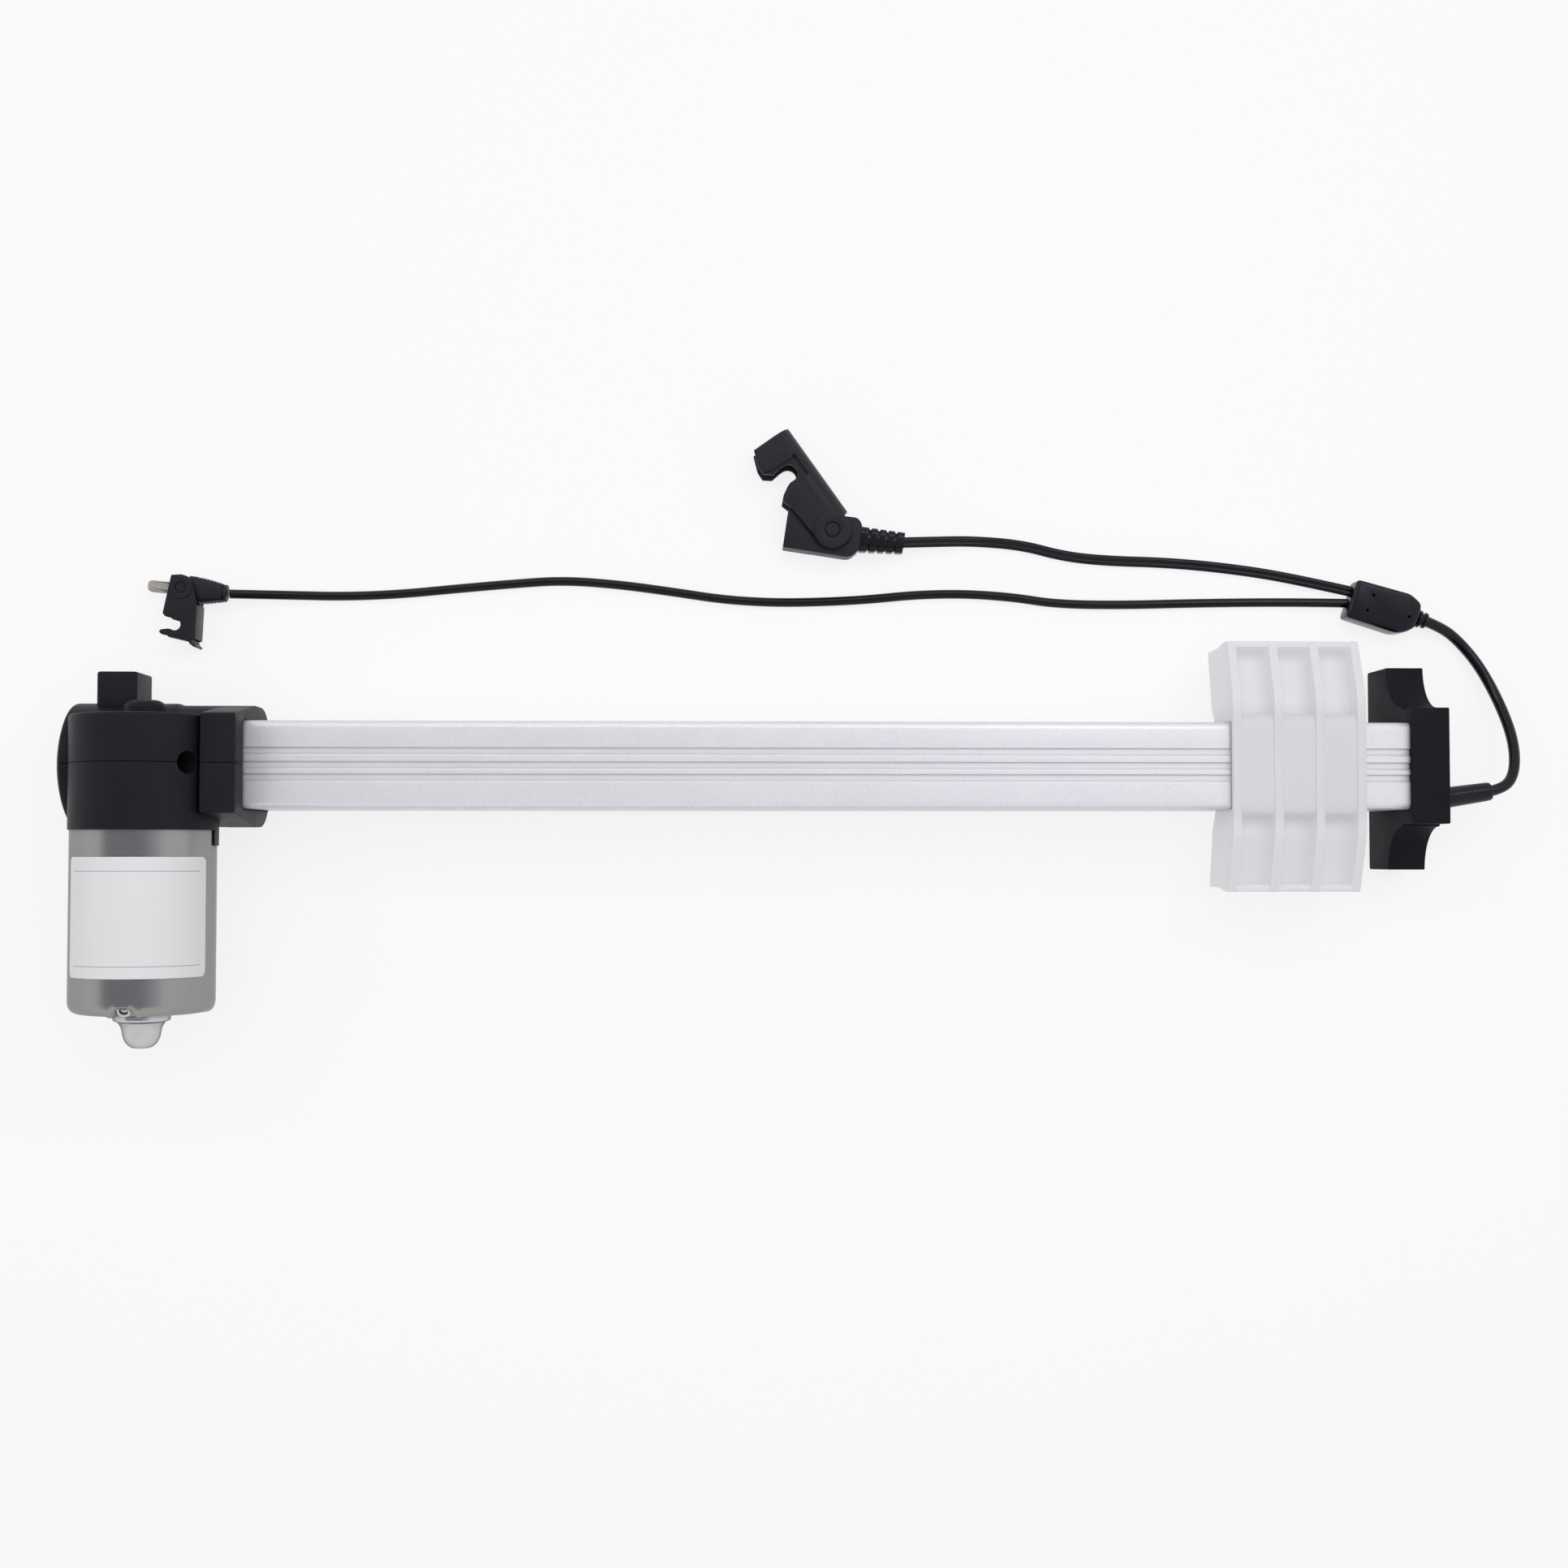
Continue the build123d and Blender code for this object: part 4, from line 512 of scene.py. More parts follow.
def speck_group():
    """Specks: small cells of noise above a threshold."""
    group, source, sink = new_group(
        "fine specks",
        [("Float", "Scale", 1500.0), ("Float", "Amount", 0.5)],
        [("Float", "Mask")],
    )
    place = add(group, "ShaderNodeTexCoord").outputs["Object"]
    noise = add(group, "ShaderNodeTexNoise", Vector=place, Scale=source.outputs["Scale"], Detail=2.0)
    low = math_node(group, "SUBTRACT", 1.0, math_node(group, "MULTIPLY", source.outputs["Amount"], 0.5))
    step = add(group, "ShaderNodeMapRange", n0=noise.outputs[0],
               n1=math_node(group, "MULTIPLY", low, 0.6), n2=0.75)
    group.links.new(step.outputs[0], sink.inputs["Mask"])
    return group


def crevice_group():
    """Painted shade in crevices: how open a point is to the air within a reach, raised to a power, as a mask
    that darkens the colour.
    """
    group, source, sink = new_group(
        "crevice shade",
        [("Float", "Reach", 0.0015), ("Float", "Power", 1.5)],
        [("Float", "Mask")],
    )
    open_air = add(group, "ShaderNodeAmbientOcclusion", {"samples": 8}, Distance=source.outputs["Reach"])
    mask = math_node(group, "POWER", open_air.outputs["AO"], source.outputs["Power"])
    group.links.new(mask, sink.inputs["Mask"])
    return group


def new_material(name, **settings):
    """A material with one Principled shader, and the values of its sockets."""
    material = bpy.data.materials.new(name)
    material.use_nodes = True
    tree = material.node_tree
    shader = tree.nodes["Principled BSDF"]
    for key, value in settings.items():
        shader.inputs[key.replace("_", " ")].default_value = value
    return material, tree, shader


def use_group(tree, group, **values):
    """A group placed in a material with its own values."""
    node = tree.nodes.new("ShaderNodeGroup")
    node.node_tree = bpy.data.node_groups[group]
    for key, value in values.items():
        node.inputs[key].default_value = value
    return node


def mix_colour(tree, mask, first, second):
    """Two colours mixed by a mask."""
    node = add(tree, "ShaderNodeMix", {"data_type": "RGBA"})
    tree.links.new(mask, node.inputs[0])
    node.inputs[6].default_value = (*first, 1)
    node.inputs[7].default_value = (*second, 1)
    return node.outputs[2]


def two_shades(colour, contrast):
    """A darker and a lighter shade of a colour."""
    return tuple(c * (1 - contrast) for c in colour), tuple(min(1.0, c * (1 + contrast)) for c in colour)


def shade_crevices(tree, shader, colour, reach, power):
    """A colour darkened by painted shade in crevices."""
    mask = use_group(tree, "crevice shade", Reach=reach, Power=power).outputs["Mask"]
    scaled = add(tree, "ShaderNodeVectorMath", {"operation": "SCALE"}, n0=colour, Scale=mask)
    tree.links.new(scaled.outputs[0], shader.inputs["Base Color"])


def link_skin(tree, shader, group):
    """Roughness and normal of a group, linked to the shader."""
    for socket in ("Roughness", "Normal"):
        tree.links.new(group.outputs[socket], shader.inputs[socket])


def moulded(name, colour, size, depth, roughness, contrast=0.25, level=0.5, crevice=1.6, **extra):
    """Moulded plastic or rubber with grain, and painted shade in its crevices."""
    material, tree, shader = new_material(name, Specular_IOR_Level=level, **extra)
    grain = use_group(tree, "moulded grain", Size=size, Depth=depth, Roughness=roughness, Spread=0.1)
    face = mix_colour(tree, grain.outputs["Mask"], *two_shades(colour, contrast))
    shade_crevices(tree, shader, face, PLASTIC_REACH, crevice)
    link_skin(tree, shader, grain)
    return material


def metal(name, colour, stretch, depth, roughness, contrast=0.12, **extra):
    """Drawn, turned or plated metal, with painted shade in its crevices."""
    material, tree, shader = new_material(name, Metallic=1.0, **extra)
    drawn = use_group(tree, "drawn metal", Stretch=stretch, Depth=depth, Roughness=roughness)
    face = mix_colour(tree, drawn.outputs["Mask"], *two_shades(colour, contrast))
    shade_crevices(tree, shader, face, METAL_REACH, 1.3)
    link_skin(tree, shader, drawn)
    return material


def anodised(name, colour):
    """Blasted and anodised aluminium, with specks in its colour, grain in its skin and painted shade in its
    grooves and crevices.
    """
    material, tree, shader = new_material(name, Metallic=0.3)
    speck = use_group(tree, "fine specks", Scale=2300.0, Amount=0.8)
    grain = use_group(tree, "moulded grain", Size=0.9, Depth=0.25, Roughness=0.36, Spread=0.1)
    face = mix_colour(tree, speck.outputs["Mask"], tuple(c * 0.86 for c in colour), colour)
    shade_crevices(tree, shader, face, GROOVE_REACH, 0.7)
    link_skin(tree, shader, grain)
    return material


def nylon_with_painted_glow(name, colour):
    """Clear-white nylon: a soft skin, and a painted glow: emission that stands in for light
    coming through and lifts its shade, weaker over the rail than in the free wings."""
    material, tree, shader = new_material(
        name, Subsurface_Weight=0.25, Subsurface_Scale=0.003, Subsurface_Radius=(1.0, 0.97, 0.95),
        Emission_Color=(0.98, 0.98, 1.0, 1.0), Specular_IOR_Level=0.3)
    grain = use_group(tree, "moulded grain", Size=3.0, Depth=0.05, Roughness=0.42, Spread=0.1)
    cloud = mix_colour(tree, grain.outputs["Mask"], *two_shades(colour, 0.03))
    place = add(tree, "ShaderNodeTexCoord").outputs["Object"]
    across = add(tree, "ShaderNodeSeparateXYZ", Vector=place).outputs[1]
    away = math_node(tree, "ABSOLUTE", math_node(tree, "SUBTRACT", across, row_place(1, 0.0)))
    # Painted glow: emission strength 0.2 within 16 mm of the middle, rising to 0.26 beyond 24 mm
    glow = add(tree, "ShaderNodeMapRange", {"interpolation_type": "SMOOTHSTEP"}, n0=away, n1=0.016,
               n2=0.024, n3=0.2, n4=0.26)
    tree.links.new(glow.outputs[0], shader.inputs["Emission Strength"])
    tree.links.new(cloud, shader.inputs["Base Color"])
    link_skin(tree, shader, grain)
    return material


def film(name, colour, rule_colour):
    """Bare label film with two thin printed rules across it."""
    material, tree, shader = new_material(name, Coat_Weight=0.15, Coat_Roughness=0.25)
    place = add(tree, "ShaderNodeTexCoord").outputs["Object"]
    x, y = add(tree, "ShaderNodeSeparateXYZ", Vector=place).outputs[:2]
    masks = []
    for rule in RULES_Y:
        away = math_node(tree, "ABSOLUTE", math_node(tree, "SUBTRACT", y, row_place(1, rule)))
        masks.append(math_node(tree, "LESS_THAN", away, RULE_HALF / 1000.0))
    inside = math_node(tree, "MULTIPLY", math_node(tree, "GREATER_THAN", x, row_place(0, RULES_X[0])),
                       math_node(tree, "LESS_THAN", x, row_place(0, RULES_X[1])))
    rules = math_node(tree, "MULTIPLY", math_node(tree, "MAXIMUM", *masks), inside)
    grain = use_group(tree, "moulded grain", Size=3.0, Depth=0.04, Roughness=0.38, Spread=0.06)
    tree.links.new(mix_colour(tree, rules, colour, rule_colour), shader.inputs["Base Color"])
    link_skin(tree, shader, grain)
    return material


def make_materials():
    """Every finish of the object, by slot."""
    for group in (grain_group, drawn_group, speck_group, crevice_group):
        group()
    colours = bpy.context.scene.actuator_colours
    black, steel, nylon = tuple(colours.plastic), tuple(colours.steel), tuple(colours.nylon)
    cool = (0.85, 0.88, 1.0, 1.0)
    turned_lines, even = (60.0, 3000.0, 60.0), (900.0, 900.0, 900.0)
    return {
        "housing_plastic": moulded("housing plastic", black, 1.0, 0.35, 0.46, level=0.12,
                                   Specular_Tint=cool),
        "cap_plastic": moulded("cap plastic", black, 0.8, 0.4, 0.54, level=0.05, Specular_Tint=cool),
        "connector_plastic": moulded("connector plastic", black, 1.3, 0.2, 0.42, level=0.24,
                                     Specular_Tint=cool),
        "inner_plastic": moulded("inner plastic", (0.06, 0.06, 0.065), 1.0, 0.2, 0.5),
        "motor_steel": metal("motor steel", steel, turned_lines, 0.03, 0.28, 0.08,
                             Specular_Tint=(0.7, 0.7, 0.72, 1.0)),
        "cup_steel": metal("cup steel", (0.52, 0.53, 0.54), turned_lines, 0.04, 0.13,
                           Specular_Tint=(0.3, 0.3, 0.3, 1.0)),
        "zinc_steel": metal("zinc steel", (0.6, 0.6, 0.58), (400.0, 400.0, 400.0), 0.1, 0.3),
        "shaft_steel": metal("shaft steel", (0.5, 0.5, 0.51), (3000.0, 80.0, 80.0), 0.05, 0.25),
        "bearing_bronze": metal("bearing bronze", (0.45, 0.3, 0.14), even, 0.2, 0.45),
        "ferrite": moulded("ferrite", (0.05, 0.05, 0.055), 2.0, 0.3, 0.55),
        "carbon": moulded("carbon", (0.025, 0.025, 0.027), 1.0, 0.2, 0.35),
        "copper": metal("copper", (0.72, 0.3, 0.16), (900.0, 2500.0, 900.0), 0.2, 0.3),
        "contact_metal": metal("contact metal", (0.75, 0.7, 0.55), even, 0.05, 0.25),
        "buffer_rubber": moulded("buffer rubber", (0.02, 0.02, 0.02), 2.0, 0.3, 0.7),
        "anodised_rail": anodised("anodised rail", tuple(colours.rail)),
        "board_green": moulded("board green", (0.02, 0.14, 0.05), 3.0, 0.1, 0.3),
        "lead_red": moulded("lead red", (0.42, 0.02, 0.015), 2.0, 0.05, 0.35),
        "cord_black": moulded("cord black", tuple(0.25 * c for c in black), 2.5, 0.06, 0.19, level=0.3,
                              Specular_Tint=cool),
        "pale_insert": moulded("pale insert", (0.4, 0.37, 0.345), 0.05, 0.1, 0.3, contrast=0.7,
                               crevice=1.0),
        "slider_nylon": nylon_with_painted_glow("slider nylon", nylon),
        "label_film": film("label film", (0.8, 0.8, 0.82), (0.2, 0.2, 0.22)),
    }


# Cords


def cord_curve(name, route, radius):
    """One open spline through the route's control points."""
    curve = bpy.data.curves.new(name, "CURVE")
    curve.dimensions = "3D"
    curve.resolution_u = 16
    curve.bevel_depth = 1.0 if radius else 0.0
    curve.bevel_resolution = 5
    curve.use_fill_caps = True
    spline = curve.splines.new("NURBS")
    spline.points.add(len(route) - 1)
    points = np.concatenate([to_row(route), np.ones((len(route), 1))], 1)
    spline.points.foreach_set("co", points.ravel())
    spline.points.foreach_set("radius", np.full(len(route), radius / 1000.0))
    spline.order_u = 3
    spline.use_endpoint_u = True
    return put(name, curve)


def curve_points(obj):
    """The points of a curve's own line, in metres."""
    depth = obj.data.bevel_depth
    obj.data.bevel_depth = 0.0
    bpy.context.view_layer.update()
    graph = bpy.context.evaluated_depsgraph_get()
    mesh = bpy.data.meshes.new_from_object(obj.evaluated_get(graph))
    points = np.zeros(len(mesh.vertices) * 3)
    mesh.vertices.foreach_get("co", points)
    bpy.data.meshes.remove(mesh)
    obj.data.bevel_depth = depth
    return points.reshape(-1, 3)


def twin_section(half_width, half_height, points=40):
    """Two wires side by side: an oval whose height falls towards the groove as
    1 - 0.45 exp(-(side / groove)^2)."""
    angle = np.linspace(0, 2 * np.pi, points, endpoint=False)
    side = half_width * boxy(np.cos(angle), 0.85)
    height = half_height * boxy(np.sin(angle), 0.7)
    height *= 1 - 0.45 * np.exp(-((side / (0.24 * half_width)) ** 2))
    return np.stack([side, height], 1)


# Operators


class ActuatorSizes(bpy.types.PropertyGroup):
    """Sizes of the small details."""

    housing_edge: FloatProperty(name="Housing edge", description="Rounding of the housing's edges in mm",
                                default=0.9, min=0.1, max=2.0)
    nylon_edge: FloatProperty(name="Slider edge", description="Rounding of the slider's edges in mm",
                              default=0.35, min=0.1, max=1.2)
    label_thick: FloatProperty(name="Label film", description="Thickness of the label film in mm",
                               default=0.12, min=0.02, max=0.4)
    thread_depth: FloatProperty(name="Thread depth", description="Depth of the spindle's thread in mm",
                                default=1.6, min=0.2, max=2.5)


class ActuatorColours(bpy.types.PropertyGroup):
    """Main colours."""

    plastic: FloatVectorProperty(name="Black plastic", description="Colour of the black plastic",
                                 subtype="COLOR", size=3, default=(0.0128, 0.0122, 0.0158), min=0, max=1)
    steel: FloatVectorProperty(name="Motor steel", description="Colour of the motor can",
                               subtype="COLOR", size=3, default=(0.31, 0.3, 0.293), min=0, max=1)
    rail: FloatVectorProperty(name="Rail", description="Colour of the anodised rail",
                              subtype="COLOR", size=3, default=(0.86, 0.86, 0.9), min=0, max=1)
    nylon: FloatVectorProperty(name="Slider nylon", description="Colour of the slider",
                               subtype="COLOR", size=3, default=(0.5, 0.5, 0.525), min=0, max=1)


class StudioSettings(bpy.types.PropertyGroup):
    """Light of the studio."""

    surround: FloatProperty(name="Surround", description="Strength of the light from all round",
                            default=0.36, min=0, max=2)
    softbox: FloatProperty(name="Softboxes", description="Power of the overhead softbox in watts",
                           default=4.7, min=0, max=50)
    key: FloatProperty(name="Key light", description="Power of the small softbox in watts",
                       default=0.6, min=0, max=20)
    strip: FloatProperty(name="Strip light", description="Power of the long strip behind in watts",
                         default=1.8, min=0, max=20)


LINES = {}


class ACTUATOR_OT_camera(bpy.types.Operator):
    """Camera over the table, at the photograph's viewing angle"""

    bl_idname = "actuator.camera"
    bl_label = "Camera"

    def execute(self, context):
        camera = bpy.data.cameras.new("camera")
        camera.sensor_fit = "HORIZONTAL"
        camera.angle = 2 * math.atan(CAMERA_SLOPE)
        camera.clip_start, camera.clip_end = 0.01, 20.0
        right, ahead = Vector(CAMERA_RIGHT), Vector(CAMERA_AHEAD).normalized()
        turn = Matrix((right.normalized(), right.cross(ahead).normalized(), -ahead)).transposed()
        obj = put("camera", camera)
        obj.matrix_world = Matrix.Translation(Vector(to_row(CAMERA_PLACE))) @ turn.to_4x4()
        context.scene.camera = obj
        return {"FINISHED"}


class ACTUATOR_OT_cords(bpy.types.Operator):
    """Main cable, flat two-wire lead and round lead"""

    bl_idname = "actuator.cords"
    bl_label = "Cords"

    def execute(self, context):
        cable = cord_curve("cable_main", MAIN_ROUTE, 2.0)
        finish_piece(cable, "housing", "cord_black", ["main_cable"])
        guide = cord_curve("twin_guide", TWIN_ROUTE, 0.0)
        LINES["lead_twin"] = curve_points(guide)
        bpy.data.objects.remove(guide)
        rings = tube_rings(LINES["lead_twin"] * 1000.0 + ORIGIN, twin_section(2.0, 1.15))
        make_piece("lead_twin", [shell(rings)], "housing", "cord_black", ["socket_lead"], sharp=60)
        thin = cord_curve("lead_round", THIN_ROUTE, 1.7)
        finish_piece(thin, "housing", "cord_black", ["plug_lead"])
        LINES["cable_main"], LINES["lead_round"] = curve_points(cable), curve_points(thin)
        return {"FINISHED"}


class ACTUATOR_OT_cord_facts(bpy.types.Operator):
    """Does nothing and finishes at once"""

    bl_idname = "actuator.cord_facts"
    bl_label = "Cord facts"

    def execute(self, context):
        return {"FINISHED"}


class ACTUATOR_OT_gearbox(bpy.types.Operator):
    """Gearbox housing: chamber, motor shroud, rail collar, boss, lug and foot"""

    bl_idname = "actuator.gearbox"
    bl_label = "Gearbox housing"

    def execute(self, context):
        edge = context.scene.actuator_sizes.housing_edge
        ball = (CHAMBER_R**2 + DOME_RISE**2) / (2 * DOME_RISE)
        rise = np.linspace(0.3, CHAMBER_R, 24)
        dome = np.stack([CHAMBER_LEFT - DOME_RISE + ball - np.sqrt(ball**2 - rise**2), rise], 1)
        bend = soften_line([dome[-3], dome[-1], (CHAMBER_LEFT + 8, CHAMBER_R)], 2.0)
        end = soften_line([(CHAMBER_RIGHT - 3, CHAMBER_R), (CHAMBER_RIGHT, CHAMBER_R),
                           (CHAMBER_RIGHT + 1.6, COLLAR_HALF), (COLLAR[0] + 1, COLLAR_HALF)],
                          [0, 2.0, 1.2, 0])
        chamber = turned(np.concatenate([dome[:-3], bend, end]), "x", (0.0, SPINDLE_Z), 144, split=90.0)
        front, under = 58.0, 4.0
        turn = np.radians(np.arange(0, 91, 7.5))
        back = np.stack([COLLAR_HALF - 14 + 14 * np.cos(turn), under + 14 - 14 * np.sin(turn)], 1)
        right = np.concatenate([[(0.16, front), (17.2, front), (COLLAR_HALF, 27.0)], back])
        outline = np.concatenate([[(0, front - 0.25)], right, right[::-1] * [-1, 1]])
        sizes = np.full(len(outline), 0.02)
        sizes[2] = sizes[-2] = 1.0
        pocket = [(RAIL_HALF, RAIL_FRONT_Z), (RAIL_HALF, RAIL_BACK_Z), (-RAIL_HALF, RAIL_BACK_Z),
                  (-RAIL_HALF, RAIL_FRONT_Z)]
        collar = ring_prism(soften(outline, sizes), soften(pocket, 2.0), (0.0, 30.0), *COLLAR, edge * 0.6)
        boss = turned(soften_line([(5, 7.1), (21.0, 7.1), (22.4, 5.2), (22.9, 0.3)], [0, 1.6, 1.6, 0]),
                      "y", (0.0, MOTOR_Z), 64)
        lug = prism(soften(LUG_CORNERS, 1.5), 5.0, 33.5, edge, "y")
        middle_of_bore = (0.0, FOOT_BORE_Z)
        foot = ring_prism(soften(FOOT_CORNERS, [3, 3, 0.2, 0.2]), circle(FOOT_BORE_R, middle_of_bore),
                          middle_of_bore, -15.0, 15.0, 0.5, "y")
        finger = bent_patch(CAN_R + 0.05, 0.55, (-28.5, -22.0), (84.0, 107.0), 0.6, rows=16)
        make_piece("gearbox_shell", [chamber, collar, boss, lug, foot, finger], "housing",
                   "housing_plastic", ["gear_housing_upper"])
        low, high = SHROUD_SPAN
        profile = soften_line([(low, 3.0), (low, SHROUD_R), (-0.16, SHROUD_R), (0, SHROUD_R - 0.25),
                               (0.16, SHROUD_R), (high, SHROUD_R), (high, 3.0)],
                              [0, 0.3, 0.02, 0.02, 0.02, 1.3, 0])
        shroud = turned(profile, "y", (0.0, MOTOR_Z), 192)
        hole = turned([(SHROUD_R - 11.5, CABLE_HOLE_R), (SHROUD_R + 3, CABLE_HOLE_R)], "x", (0.0, 0.0), 48)
        lean = math.radians(CABLE_HOLE_ANGLE)
        hole = tilted(hole, (0.0, 0.0, MOTOR_Z), (math.sin(lean), 0.0, math.cos(lean)))
        make_piece("motor_shroud", [shroud], "housing", "housing_plastic", ["gear_housing_lower"], [hole])
        return {"FINISHED"}


class ACTUATOR_OT_motor(bpy.types.Operator):
    """Motor can, end cup and bare label"""

    bl_idname = "actuator.motor"
    bl_label = "Motor"

    def execute(self, context):
        profile = soften_line([(SHROUD_SPAN[0] + 2, 4.0), (SHROUD_SPAN[0] + 2, CAN_R), (CAN_END, CAN_R),
                               (CAN_END, 9.5), (CAN_END + 0.6, 8.6), (CAN_END + 0.6, 4.0)],
                              [0, 0, CAN_EDGE, 0.6, 0.3, 0], 10)
        near_end = CAN_END + CAN_EDGE + 0.2 + 4.0 * np.linspace(1, 0, 9)
        near_end = np.stack([near_end, np.full(9, CAN_R)], 1)
        face = CAN_R - CAN_EDGE - np.linspace(0.3, 3.9, 10)
        face = np.stack([np.full(10, CAN_END), face], 1)
        last = int(np.flatnonzero(profile[:, 1] > CAN_R - CAN_EDGE - 0.01)[-1]) + 1
        profile = np.concatenate([profile[:2], near_end, profile[2:last], face, profile[last:]])
        points, faces = turned(profile, "y", (0.0, MOTOR_Z), 240)
        make_piece("motor_tube", [(staked(points), faces)], "housing", "motor_steel", ["motor_can"])
        end = CAN_END
        profile = soften_line([(end + 0.7, 2.0), (end + 0.7, 8.2), (end - 0.2, 9.2), (end - 0.4, 9.8),
                               (end - 2.8, 9.8), (end - 3.3, 8.2), (end - 5.0, 7.0), (end - 8.8, 6.3),
                               (CUP_TIP + 1.6, 5.3), (CUP_TIP, 3.4), (CUP_TIP, 0.3)],
                              [0, 0.4, 0.4, 0.5, 0.9, 1.2, 1.6, 1.6, 1.6, 1.2, 0], 6)
        cup = turned(profile, "y", (0.0, MOTOR_Z), 96)
        make_piece("motor_cup", [cup], "housing", "cup_steel", ["motor_end_cup"])
        bead = turned([(-1.2, 0.05), (-1.0, 2.4), (-0.3, 2.8), (0.2, 2.2), (0.0, 1.5), (-0.7, 1.2),
                       (-0.8, 0.05)], "x", (0.0, 0.0), 40)
        beads, r = [], CAN_R - 2.6
        for place in np.radians(STAKES_FROM + 120.0 * np.arange(3)):
            across, up = math.sin(place), math.cos(place)
            beads.append(tilted(bead, (r * across, CAN_END + 1.9, MOTOR_Z + r * up), (across, -0.75, up)))
        make_piece("stake_beads", beads, "housing", "cup_steel")
        thick = context.scene.actuator_sizes.label_thick
        label = bent_patch(CAN_R + 0.01, thick, LABEL_Y, LABEL_ANGLES, 2.2)
        make_piece("label_blank", [label], "housing", "label_film")
        return {"FINISHED"}


class ACTUATOR_OT_rail(bpy.types.Operator):
    """Anodised rail with three grooves, and the threaded spindle inside it"""

    bl_idname = "actuator.rail"
    bl_label = "Rail and spindle"

    def execute(self, context):
        front, back, half, wall = RAIL_FRONT_Z, RAIL_BACK_Z, RAIL_HALF, 2.3
        face = [(half, front)]
        for y in (4.7, -0.25, -4.6):
            face += [(y + 1.3, front), (y + 1.3, front - 0.8), (y - 1.1, front - 0.8),
                     (y - 1.1, front - 0.3), (y - 1.6, front)]
        face += [(-half, front), (-half, back), (-5.0, back), (-5.0, back + wall)]
        inner = [(-half + wall, back + wall), (-half + wall, front - wall), (half - wall, front - wall),
                 (half - wall, back + wall), (5.0, back + wall), (5.0, back), (half, back)]
        sizes = [2.8] + [0.2, 0.2, 0.2, 0.1, 0.1] * 3 + [2.8, 2.0, 0.3, 0.3] + [0.8] * 4 + [0.3, 0.3, 2.0]
        rail = prism(soften(face + inner, sizes, 6), RAIL_FROM, RAIL_TO, 0.12, "x", 2)
        make_piece("rail_profile", [rail], "housing", "anodised_rail", ["rail"])
        low, high = (1000.0 * v[0] + ORIGIN[0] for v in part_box("spindle"))
        depth = context.scene.actuator_sizes.thread_depth
        screw = thread(SCREW_R, depth, SCREW_LEAD, SCREW_STARTS, RAIL_FROM, RAIL_TO - 3.2, SPINDLE_Z)
        stem = turned(soften_line([(low, 0.5), (low, 5.0), (8.5, 5.0), (8.5, SCREW_R),
                                   (RAIL_FROM + 0.5, SCREW_R), (RAIL_FROM + 0.5, 0.5)],
                                  [0, 0.5, 0.1, 0.4, 0, 0]), "x", (0.0, SPINDLE_Z), 48)
        tail = turned(soften_line([(RAIL_TO - 4, 0.5), (RAIL_TO - 4, 4.0), (high, 4.0), (high, 0.5)],
                                  [0, 0, 0.5, 0]), "x", (0.0, SPINDLE_Z), 48)
        make_piece("spindle_screw", [screw, stem, tail], "screw", "shaft_steel", ["spindle"], sharp=50)
        return {"FINISHED"}


def wing_front(y, below=0.0):
    """Front level of the slider at a distance y from the middle, less a depth below it."""
    fall = (PLATEAU_Z - WING_TIP_Z) * max(0.0, y - PLATEAU_HALF) / (SLIDER_HALF - PLATEAU_HALF)
    return PLATEAU_Z - fall - below


